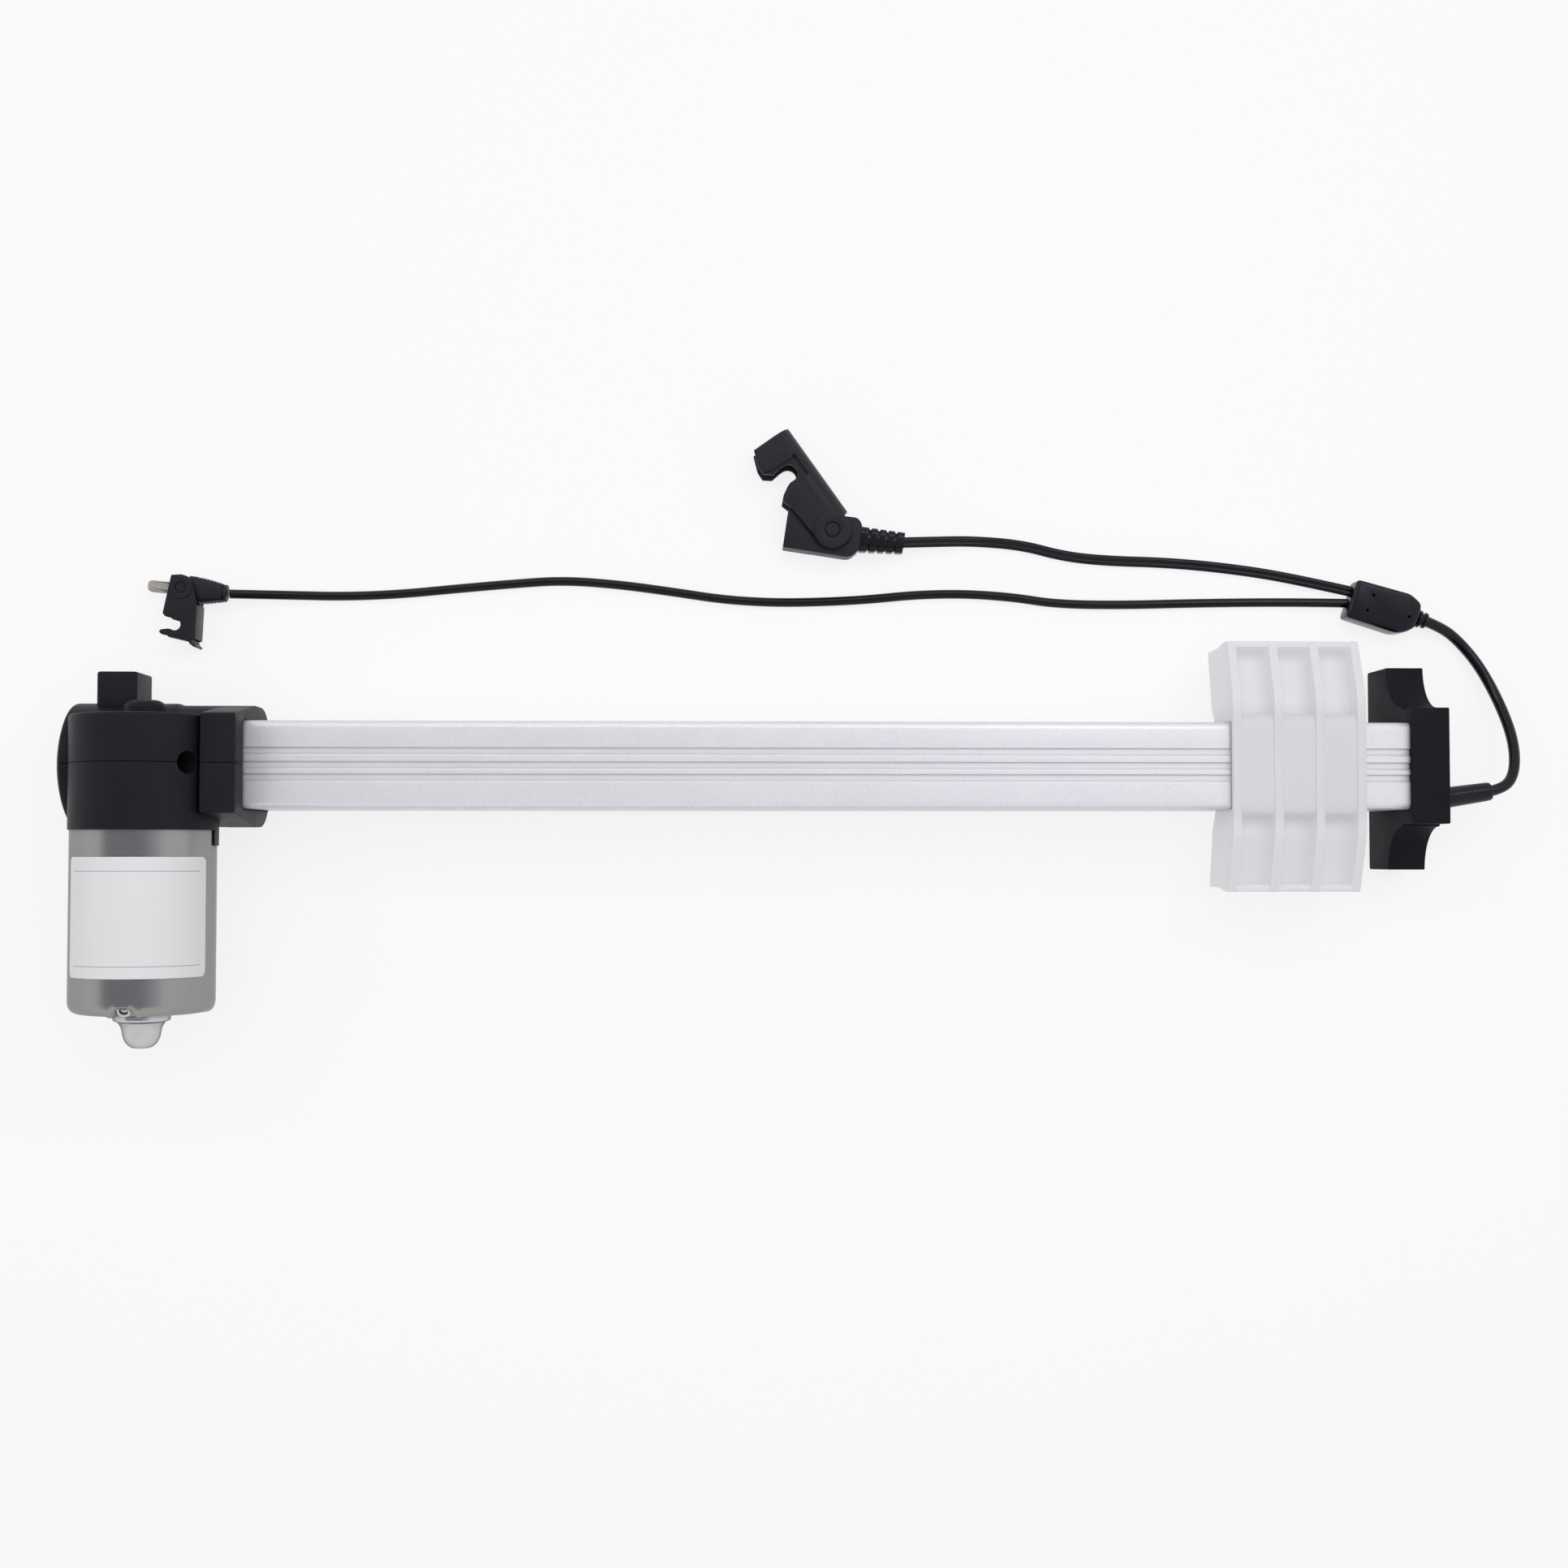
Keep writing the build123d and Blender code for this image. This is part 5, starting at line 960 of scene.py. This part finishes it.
class ACTUATOR_OT_slider(bpy.types.Operator):
    """Nylon slider: four ribs round the rail, webs, channel and bridge"""

    bl_idname = "actuator.slider"
    bl_label = "Slider"

    def execute(self, context):
        edge = context.scene.actuator_sizes.nylon_edge
        half = [(PLATEAU_HALF, PLATEAU_Z), (SLIDER_HALF, WING_TIP_Z), (SLIDER_HALF, 34.0),
                (SLIDER_HALF - 1.4, 27.0), (SLIDER_HALF - 1.4, 13.0), (CHANNEL_OUTER, 19.0),
                (CHANNEL_OUTER, BRIDGE_Z[0])]
        corner = [2.0, 1.6, 3.0, 3.0, 1.2, 1.0, 0.8]
        outer = soften(mirrored(half), corner + corner[::-1])
        hole = soften(mirrored([(CHANNEL_HALF, CHANNEL_TOP), (CHANNEL_HALF, BRIDGE_Z[1])]), 0.8)
        arch = half[:5] + [(CHANNEL_OUTER + 3.0, 18.4), (CHANNEL_OUTER - 0.4, 21.5), (CHANNEL_HALF, 22.5),
                           (CHANNEL_HALF, CHANNEL_TOP)]
        bend = corner[:5] + [2.5, 2.0, 0.6, 0.8]
        first = soften(mirrored(arch), bend + bend[::-1])
        left, right = SLIDER_X
        solids = [prism(first, left, left + RIB, edge)]
        for n in range(1, BAYS + 1):
            x0 = left + BAY_PITCH * n
            solids.append(ring_prism(outer, hole, (0.0, 28.0), x0, x0 + RIB, edge))
        sunk = PLATEAU_Z - 1.0
        wrap = mirrored([(CHANNEL_OUTER - 0.1, 30.0), (CHANNEL_OUTER - 0.1, BRIDGE_Z[0] + 0.05)])
        low_hole = mirrored([(CHANNEL_HALF, 29.0), (CHANNEL_HALF, BRIDGE_Z[1])])
        solids.append(ring_prism(soften(wrap, [0.1, 0.8, 0.8, 0.1]), low_hole, (0.0, 20.0), left + 7.3,
                                 right - 0.6, 0.3))
        tube = mirrored([(CHANNEL_OUTER, sunk), (CHANNEL_OUTER, 22.0), (CHANNEL_HALF, 22.0),
                         (CHANNEL_HALF, CHANNEL_TOP)])
        bend = [5.0, 0.5, 0.3, 0.8]
        solids.append(prism(soften(tube, bend + bend[::-1], 8), left + 0.6, right - 0.6, 0.3))
        y0, y1, y2 = CHANNEL_OUTER - 0.8, SLIDER_HALF - 0.5, SLIDER_HALF - 0.12
        low = WEB_DEPTH + WEB
        web = [(y0, wing_front(y0, WEB_DEPTH)), (PLATEAU_HALF, PLATEAU_Z - WEB_DEPTH),
               (y1, wing_front(y1, WEB_DEPTH)), (y1, wing_front(y1, low)), (PLATEAU_HALF, PLATEAU_Z - low),
               (y0, wing_front(y0, low))]
        tip = [(y2 - 3.9, 14.0), (y2 - 1.5, 13.3), (y2 - 1.5, 27.0), (y2, 34.0), (y2, wing_front(y2, 0.3)),
               (y2 - 2.2, wing_front(y2, 0.3)), (y2 - 2.6, 30.0)]
        root = [(CHANNEL_OUTER - 1, 19.4), (CHANNEL_OUTER + 2.6, 18.6), (CHANNEL_OUTER + 2.6, 36.5),
                (CHANNEL_OUTER - 1, 36.5)]
        back = 19.0 - 6.0 * (34.0 - CHANNEL_OUTER) / (SLIDER_HALF - CHANNEL_OUTER)
        for side in (-1, 1):
            for line, sizes in ((web, [0.4, 3, 0.5, 0.5, 3, 0.4]), (tip, [0.5, 0.5, 3, 3, 0.7, 0.5, 3]),
                                (root, 0.5)):
                outline = soften(np.array(line) * [side, 1], sizes)
                solids.append(prism(outline, left + 0.7, right - 0.7, 0.2))
            for x in (sum(SLIDER_X) / 2 - BAY_PITCH, sum(SLIDER_X) / 2 + BAY_PITCH):
                place = (x, side * 34.0)
                solids.append(ring_prism(circle(5.0, place, 40), circle(2.6, place, 40), place, back,
                                         back + 10, 0.3, "z"))
                solids.append(turned([(back + 9.5, 4.9), (31.5, 4.9)], "z", place, 40))
        ridge = [(-0.16, sunk - 1), (0.16, sunk - 1), (0.1, sunk + 0.12), (-0.1, sunk + 0.12)]
        solids.append(prism(ridge, left + 0.8, right - 0.8, 0.02))
        make_piece("slider_body", solids, "slider", "slider_nylon", ["slider_block"])
        return {"FINISHED"}


class ACTUATOR_OT_end_cap(bpy.types.Operator):
    """End cap with scooped wings, and the boot on its right face"""

    bl_idname = "actuator.end_cap"
    bl_label = "End cap and boot"

    def execute(self, context):
        scoop_y, scoop_z, r = 37.2, 21.5 + 15.7, 15.7
        turn = np.linspace(math.acos(min(1.0, (scoop_y - 20.7 - 0.8) / r)), math.pi / 2, 17)
        scoop = np.stack([scoop_y - r * np.cos(turn), scoop_z - r * np.sin(turn)], 1)
        half = np.concatenate([[(20.7, 48.0), (20.7, scoop[0][1] + 0.4)], scoop, [(scoop_y, 0.0)]])
        outline = np.concatenate([half, half[::-1] * [-1, 1]])
        sizes = np.full(len(half), 0.3)
        sizes[0], sizes[-1], sizes[-2] = 0.8, 1.0, 0.5
        outline = soften(outline, np.concatenate([sizes, sizes[::-1]]))
        cap = prism(outline, CAP_X[0], CAP_X[1], 0.35, "x")
        make_piece("cap_body", [cap], "housing", "cap_plastic", ["end_cap"])
        profile = soften_line([(-1.0, 4.6), (0.4, 4.6), (0.6, 4.05), (21.5, 3.45), (23.4, 3.3), (23.8, 2.1),
                               (23.0, 1.8)], [0, 0.3, 0.4, 0.8, 0.7, 0.4, 0])
        boot = turned(profile, "x", (0.0, 0.0), 48)
        tilt = math.radians(8.3)
        boot = tilted(boot, (CAP_X[1], -11.8, 25.0), (math.cos(tilt), math.sin(tilt), 0))
        make_piece("boot_sleeve", [boot], "housing", "cord_black", ["cable_boot"])
        return {"FINISHED"}


class ACTUATOR_OT_splitter(bpy.types.Operator):
    """Moulded splitter with its ringed nozzle"""

    bl_idname = "actuator.splitter"
    bl_label = "Splitter"

    def execute(self, context):
        body = prism(soften(SPLITTER_OUTLINE, 1.6), 0.0, 10.0, 1.5, "z", 6)
        start, finish = (np.array([*p, 5.0]) for p in NOZZLE)
        profile = soften_line([(-3, 2.6), (0.4, 3.1), (1.0, 2.5), (1.7, 2.5), (1.9, 3.3), (2.9, 3.3),
                               (3.2, 2.5), (4.0, 2.5), (4.3, 3.1), (5.3, 2.9), (5.4, 1.9)], 0.25, 3)
        nozzle = tilted(turned(profile, "x", (0.0, 0.0), 40), start, finish - start)
        dimples = [turned([(8.4, 0.62), (11.0, 0.62)], "z", place, 20)
                   for place in ((447.0, 65.7), (444.6, 60.0), (460.5, 57.6))]
        make_piece("splitter_shell", [body, nozzle], "housing", "cord_black", ["splitter"], dimples)
        return {"FINISHED"}


class ACTUATOR_OT_socket(bpy.types.Operator):
    """Socket connector: body, ribbed relief and hook latch"""

    bl_idname = "actuator.socket"
    bl_label = "Socket connector"

    def execute(self, context):
        z0, z1 = SOCKET_Z
        outline = [(9.0, -5.65), (9.0, 8.85), (-8.0, 8.9), (-11.0, 5.5), (-11.0, -3.7), (-9.0, -6.3)]
        body = prism(soften(outline, [0.2, 0.2, 3.0, 1.6, 1.6, 1.6]), z0 + 0.02, z1 - 0.02, 0.7, "z")
        walls = soften([(-5.7, z0), (-5.7, z1), (8.9, z1), (8.9, z0)], 0.7)
        mouth = [(-4.2, z0 + 1.5), (-4.2, z1 - 1.5), (7.4, z1 - 1.5), (7.4, z0 + 1.5)]
        mouth = ring_prism(walls, mouth, (1.6, (z0 + z1) / 2), 6.0, 17.2, 0.4, "x")
        pin = turned(soften_line([(z0 - 1.9, 2.0), (z0 - 1.9, 2.5), (z1 + 2.35, 2.5), (z1 + 2.35, 1.8)],
                                 [0, 0.3, 0.3, 0]), "z", (0.0, 0.0), 40)
        parts = [moved(s, SOCKET_PIVOT, SOCKET_TURN) for s in (body, mouth, pin)]
        make_piece("socket_shell", parts, "housing", "connector_plastic", ["socket_body"])
        relief = moved(self.relief(), SOCKET_PIVOT, SOCKET_TURN)
        make_piece("relief_ribs", [relief], "housing", "cord_black", ["socket_strain_relief"])
        parts = [moved(s, SOCKET_PIVOT, SOCKET_TURN) for s in self.latch()]
        slot = soften([(22.0, -3.4), (31.0, -3.4), (31.0, -5.0), (22.0, -5.0)], 0.7)
        slot = moved(prism(slot, z1 + 0.9, z1 + 5.0, 0.1, "z"), (0.0, 0.0), -LATCH_OPEN)
        make_piece("socket_hook", parts, "socket_latch_arm", "connector_plastic", ["socket_latch"],
                   [moved(slot, SOCKET_PIVOT, SOCKET_TURN)])
        return {"FINISHED"}

    def relief(self):
        """Rounded rectangles along u that shrink to the tip, with five ribs: between them
        the size falls by a groove."""
        u = np.linspace(0, 16.2, 109)
        share = u / 16.2
        rib = np.clip((np.abs(np.mod(u / 3.24 + 0.5, 1) - 0.5) - 0.1) / 0.05, 0, 1)
        rib[(u < 1.6) | (u > 15.0)] = 1
        angle = np.linspace(0, 2 * np.pi, 64, endpoint=False)
        cos, sin = np.cos(angle), np.sin(angle)
        groove = 0.65 * (1 - rib)[:, None] * (1 - np.exp(-((cos[None] / 0.22) ** 4)))
        v = 1.1 - share[:, None] + ((4.8 - 0.8 * share)[:, None] - groove) * boxy(cos, 0.55)
        z = 6.7 + ((4.2 - 0.7 * share)[:, None] - groove) * boxy(sin, 0.55)
        return shell(np.stack(np.broadcast_arrays(-11.0 - u[:, None], v, z), -1))

    def latch(self):
        """Two hooked plates and a rounded spine, mirrored and swung open about the pivot."""
        z0, z1 = SOCKET_Z
        hook = np.linspace(math.radians(205), math.radians(-12), 15)
        notch = np.stack([26.5 + 3.3 * np.cos(hook), -1.1 + 3.3 * np.sin(hook)], 1)
        boss = np.radians(np.arange(75, 266, 9))
        heel = np.stack([6.5 * np.cos(boss), 6.5 * np.sin(boss)], 1)
        plate = np.concatenate([heel, [(16.3, -7.9), (19.5, -8.8), (20.8, -7.5), (22.6, -4.4), (23.3, -2.6)],
                                notch[1:-1],
                                [(29.8, -2.6), (29.4, -6.2), (31.6, -9.0), (35.0, -8.9), (40.9, -6.6),
                                 (40.9, 3.2), (3.0, 3.2)]])
        plate = plate * [1, -1]
        solids = [prism(plate, low, low + 1.6, 0.25, "z", 3) for low in (z0 - 1.9, z1 + 0.3)]
        head = [(31.0, 6.0), (31.9, 8.7), (34.9, 8.6), (40.6, 6.3), (40.6, -4.2), (38.9, -6.0),
                (31.5, -6.0), (30.2, -3.0)]
        solids.append(prism(soften(head, 0.5), z1 + 1.5, z1 + 2.5, 0.4, "z"))
        half, mid = (z1 - z0) / 2 + 1.9, (z0 + z1) / 2
        turn = np.linspace(-np.pi / 2, np.pi / 2, 25)
        arc = np.stack([-2.6 - (9.3 - 2.6) * np.cos(turn), half * np.sin(turn) + mid], 1)
        hollow = np.stack([-2.6 - 5.1 * np.cos(turn), (half - 1.6) * np.sin(turn) + mid], 1)[::-1]
        solids.append(prism(np.concatenate([arc, hollow]), 2.6, 40.9, 0.45, "x"))
        solids.append(ring_prism(circle(6.9, points=64), circle(3.0, points=64), (0.0, 0.0), z1 + 1.0,
                                 z1 + 2.4, 0.2, "z"))
        return [moved(s, (0.0, 0.0), -LATCH_OPEN) for s in solids]


class ACTUATOR_OT_plug(bpy.types.Operator):
    """Plug connector: grip, insert and hook latch"""

    bl_idname = "actuator.plug"
    bl_label = "Plug connector"

    def execute(self, context):
        z0, z1 = PLUG_Z
        mid = (z0 + z1) / 2
        u = np.linspace(0, 12.4, 125)
        share = u / 12.4
        grip = 0.4 * (0.5 + 0.5 * np.cos(u * 2 * np.pi / 1.27)) * ((u > 1.2) & (u < 9.5))
        angle = np.linspace(0, 2 * np.pi, 64, endpoint=False)
        cos, sin = np.cos(angle), np.sin(angle)
        half_v = (3.2 + 1.9 * np.sin(np.pi * 0.5 * share) ** 0.8)[:, None]
        half_z = (3.3 + 0.8 * share)[:, None]
        sides = np.abs(sin)[None] ** 2
        v = (half_v - grip[:, None] * (1 - sides)) * boxy(cos, 0.6)
        z = mid + half_z * boxy(sin, 0.6)
        body = shell(np.stack(np.broadcast_arrays(-14.4 + u[:, None], v, z), -1))
        tongue = soften([(-3, -3.4), (3.6, -3.4), (3.6, 3.4), (-3, 3.4)], 0.5)
        tongue = prism(tongue, z0 + 1.9, z1 - 1.9, 0.3, "z")
        pin = turned(soften_line([(0.2, 1.0), (0.2, 1.75), (2 * mid + 0.1, 1.75), (2 * mid + 0.1, 1.0)],
                                 [0, 0.25, 0.25, 0]), "z", (0.0, 0.0), 40)
        ring = turned(soften_line([(-15.8, 1.8), (-15.8, 3.2), (-14.0, 3.2), (-14.0, 1.8)],
                                  [0, 0.5, 0.3, 0]), "x", (0.0, mid), 40)
        parts = [moved(s, PLUG_PIVOT, PLUG_TURN) for s in (body, tongue, pin, ring)]
        make_piece("plug_grip", parts, "housing", "connector_plastic", ["plug_body"])
        tip = soften([(3.0, -2.1), (12.2, -2.1), (13.2, -1.1), (13.2, 1.1), (12.2, 2.1), (3.0, 2.1)], 0.3)
        tip = moved(prism(tip, z0 + 2.1, z1 - 2.1, 0.7, "z"), PLUG_PIVOT, PLUG_TURN)
        make_piece("plug_tip", [tip], "housing", "pale_insert", ["plug_insert"])
        parts = [moved(s, PLUG_PIVOT, 0.0) for s in self.latch(mid)]
        make_piece("plug_hook", parts, "plug_latch_arm", "connector_plastic", ["plug_latch"])
        return {"FINISHED"}

    def latch(self, mid):
        """Two hooked plates joined by a back flange with a turned lip."""
        turn = np.radians(np.arange(100, -101, -20))
        notch = np.stack([-2.2 + 2.2 * np.cos(turn), -13.6 + 2.2 * np.sin(turn)], 1)
        plate = np.concatenate([[(-3.6, 4.7), (0.2, 4.9), (2.6, 4.1), (4.2, 1.6), (5.6, -5.2), (5.1, -19.0),
                                 (1.8, -19.3), (-7.0, -17.2), (-7.9, -16.3), (-7.3, -15.4), (-4.2, -15.1)],
                                notch[::-1], [(-5.7, -10.6), (-6.6, -9.4)]])
        solids = [prism(soften(plate, 0.4, 3), low, low + 1.2, 0.2, "z", 3) for low in (0.2, 2 * mid - 1.4)]
        flange = [(5.2, -5.2), (5.9, -6.4), (5.3, -18.9), (4.3, -18.7), (4.9, -6.2)]
        solids.append(prism(soften(flange, 0.35, 3), 0.25, 2 * mid - 0.25, 0.25, "z", 3))
        tail = [(2.5, -19.0), (3.3, -20.7), (5.0, -22.0), (5.5, -21.4), (4.3, -20.2), (4.2, -18.6)]
        solids.append(prism(soften(tail, 0.3, 3), 0.25, 2 * mid - 0.25, 0.2, "z", 3))
        solids.append(ring_prism(circle(4.1), circle(2.15), (0.0, 0.0), 2 * mid - 0.6, 2 * mid + 0.15,
                                 0.15, "z"))
        return solids


class ACTUATOR_OT_finishes(bpy.types.Operator):
    """Finish of every CAD node that stays in view"""

    bl_idname = "actuator.finishes"
    bl_label = "Finishes of the inner parts"

    def execute(self, context):
        slots = {entry["node"]: entry["material_slot"] for entry in frame["record"]["subparts"]}
        for name, obj in frame["nodes"].items():
            obj.data.materials.clear()
            obj.data.materials.append(MATERIALS[slots[name]])
        return {"FINISHED"}


def seen_rays(tree):
    """One for camera, glossy and transmission rays, and nought for the rest."""
    path = add(tree, "ShaderNodeLightPath").outputs
    seen = math_node(tree, "MAXIMUM", path["Is Camera Ray"], path["Is Glossy Ray"])
    return math_node(tree, "MAXIMUM", seen, path["Is Transmission Ray"])


def stage_sheet(name, x, y, z, material):
    """A flat rectangle of the stage."""
    mesh = bpy.data.meshes.new(name)
    mesh.from_pydata([(x[0], y[0], z), (x[1], y[0], z), (x[1], y[1], z), (x[0], y[1], z)], [],
                     [(0, 1, 2, 3)])
    mesh.materials.append(material)
    sheet = put(name, mesh)
    return sheet


def lamp(name, place, watts, size, depth=None, glossy=True):
    """An area light that faces the middle of the frame."""
    light = bpy.data.lights.new(name, "AREA")
    light.shape, light.size, light.energy = "SQUARE", size, watts
    if depth:
        light.shape, light.size_y = "RECTANGLE", depth
    obj = put(name, light)
    obj.location = place
    obj.rotation_euler = (-Vector(place)).to_track_quat("-Z", "Y").to_euler()
    obj.visible_glossy = glossy


class ACTUATOR_OT_stage(bpy.types.Operator):
    """Pale floor, soft lights and white surround"""

    bl_idname = "actuator.stage"
    bl_label = "Studio"

    def execute(self, context):
        studio = context.scene.actuator_studio
        paper, tree, shader = new_material("floor paper", Roughness=0.9, Specular_IOR_Level=0.0,
                                           Base_Color=(0.9, 0.9, 0.9, 1))
        white = add(tree, "ShaderNodeEmission", Strength=1.0)
        mix = add(tree, "ShaderNodeMixShader", n0=math_node(tree, "MULTIPLY", seen_rays(tree), 0.8),
                  n1=shader.outputs[0], n2=white.outputs[0])
        tree.links.new(mix.outputs[0], tree.nodes["Material Output"].inputs[0])
        stage_sheet("floor", (-6.0, 6.0), (-6.0, 6.0), -0.0004, paper)
        world = bpy.data.worlds.new("studio")
        world.use_nodes = True
        tree = world.node_tree
        tree.nodes.clear()
        lit = add(tree, "ShaderNodeBackground", Strength=studio.surround, Color=(1, 1, 1, 1))
        white = add(tree, "ShaderNodeBackground", Strength=1.0, Color=(1, 1, 1, 1))
        mix = add(tree, "ShaderNodeMixShader", n0=seen_rays(tree), n1=lit.outputs[0], n2=white.outputs[0])
        sink = add(tree, "ShaderNodeOutputWorld")
        tree.links.new(mix.outputs[0], sink.inputs[0])
        context.scene.world = world
        for side, place, size, share in (
            ("left", (-0.85, 0.1, 0.6), 0.7, 0.22),
            ("right", (0.8, 0.25, 0.8), 0.7, 0.16),
            ("over", (0.0, 0.1, 1.15), 0.9, 1.0),
        ):
            lamp("softbox_" + side, place, studio.softbox * share, size, glossy=False)
        lamp("key_light", (0.42, 0.4, 0.86), studio.key, 0.25)
        lamp("strip_light", (0.0, 0.58, 0.86), studio.strip, 1.7, 0.03)
        # A grey ceiling for reflections only, darker over the motor than over the end cap
        grey, tree, shader = new_material("ceiling grey", Roughness=1.0, Specular_IOR_Level=0.0,
                                          Base_Color=(0.01, 0.01, 0.01, 1),
                                          Emission_Color=(0.93, 0.97, 1.1, 1))
        place = add(tree, "ShaderNodeTexCoord").outputs["Object"]
        along = add(tree, "ShaderNodeSeparateXYZ", Vector=place).outputs[0]
        rise = add(tree, "ShaderNodeMapRange", n0=along, n1=0.0, n2=0.6, n3=0.4, n4=0.75)
        tree.links.new(rise.outputs[0], shader.inputs["Emission Strength"])
        ceiling = stage_sheet("grey_ceiling", (-1.35, 0.7), (-0.5, 0.5), 0.98, grey)
        for ray in ("camera", "diffuse", "shadow", "transmission"):
            setattr(ceiling, "visible_" + ray, False)
        context.scene.view_settings.view_transform = "Standard"
        return {"FINISHED"}


OPERATORS = [
    ACTUATOR_OT_camera, ACTUATOR_OT_cords, ACTUATOR_OT_gearbox, ACTUATOR_OT_motor, ACTUATOR_OT_rail,
    ACTUATOR_OT_slider, ACTUATOR_OT_end_cap, ACTUATOR_OT_splitter, ACTUATOR_OT_socket,
    ACTUATOR_OT_plug, ACTUATOR_OT_cord_facts, ACTUATOR_OT_finishes, ACTUATOR_OT_stage,
]


class ACTUATOR_PT_panel(bpy.types.Panel):
    """Lists the sizes, colours and pieces of the actuator"""

    bl_idname = "ACTUATOR_PT_panel"
    bl_label = "Linear actuator"
    bl_space_type = "VIEW_3D"
    bl_region_type = "UI"
    bl_category = "Actuator"

    def draw(self, context):
        for settings in ("actuator_sizes", "actuator_colours", "actuator_studio"):
            group = getattr(context.scene, settings)
            box = self.layout.box()
            for key in group.bl_rna.properties.keys():
                if key not in ("rna_type", "name"):
                    box.prop(group, key)
        for operator in OPERATORS:
            self.layout.operator(operator.bl_idname)


CLASSES = [ActuatorSizes, ActuatorColours, StudioSettings, *OPERATORS, ACTUATOR_PT_panel]


def register():
    for item in CLASSES:
        bpy.utils.register_class(item)
    bpy.types.Scene.actuator_sizes = PointerProperty(type=ActuatorSizes)
    bpy.types.Scene.actuator_colours = PointerProperty(type=ActuatorColours)
    bpy.types.Scene.actuator_studio = PointerProperty(type=StudioSettings)


def unregister():
    del bpy.types.Scene.actuator_sizes
    del bpy.types.Scene.actuator_colours
    del bpy.types.Scene.actuator_studio
    for item in reversed(CLASSES):
        bpy.utils.unregister_class(item)


def main():
    """Registers the add-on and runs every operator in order."""
    register()
    MATERIALS.update(make_materials())
    for operator in OPERATORS:
        family, action = operator.bl_idname.split(".")
        result = getattr(getattr(bpy.ops, family), action)()
        if result != {"FINISHED"}:
            raise RuntimeError(f"{operator.bl_idname} did not finish")


if __name__ == "__main__":
    main()
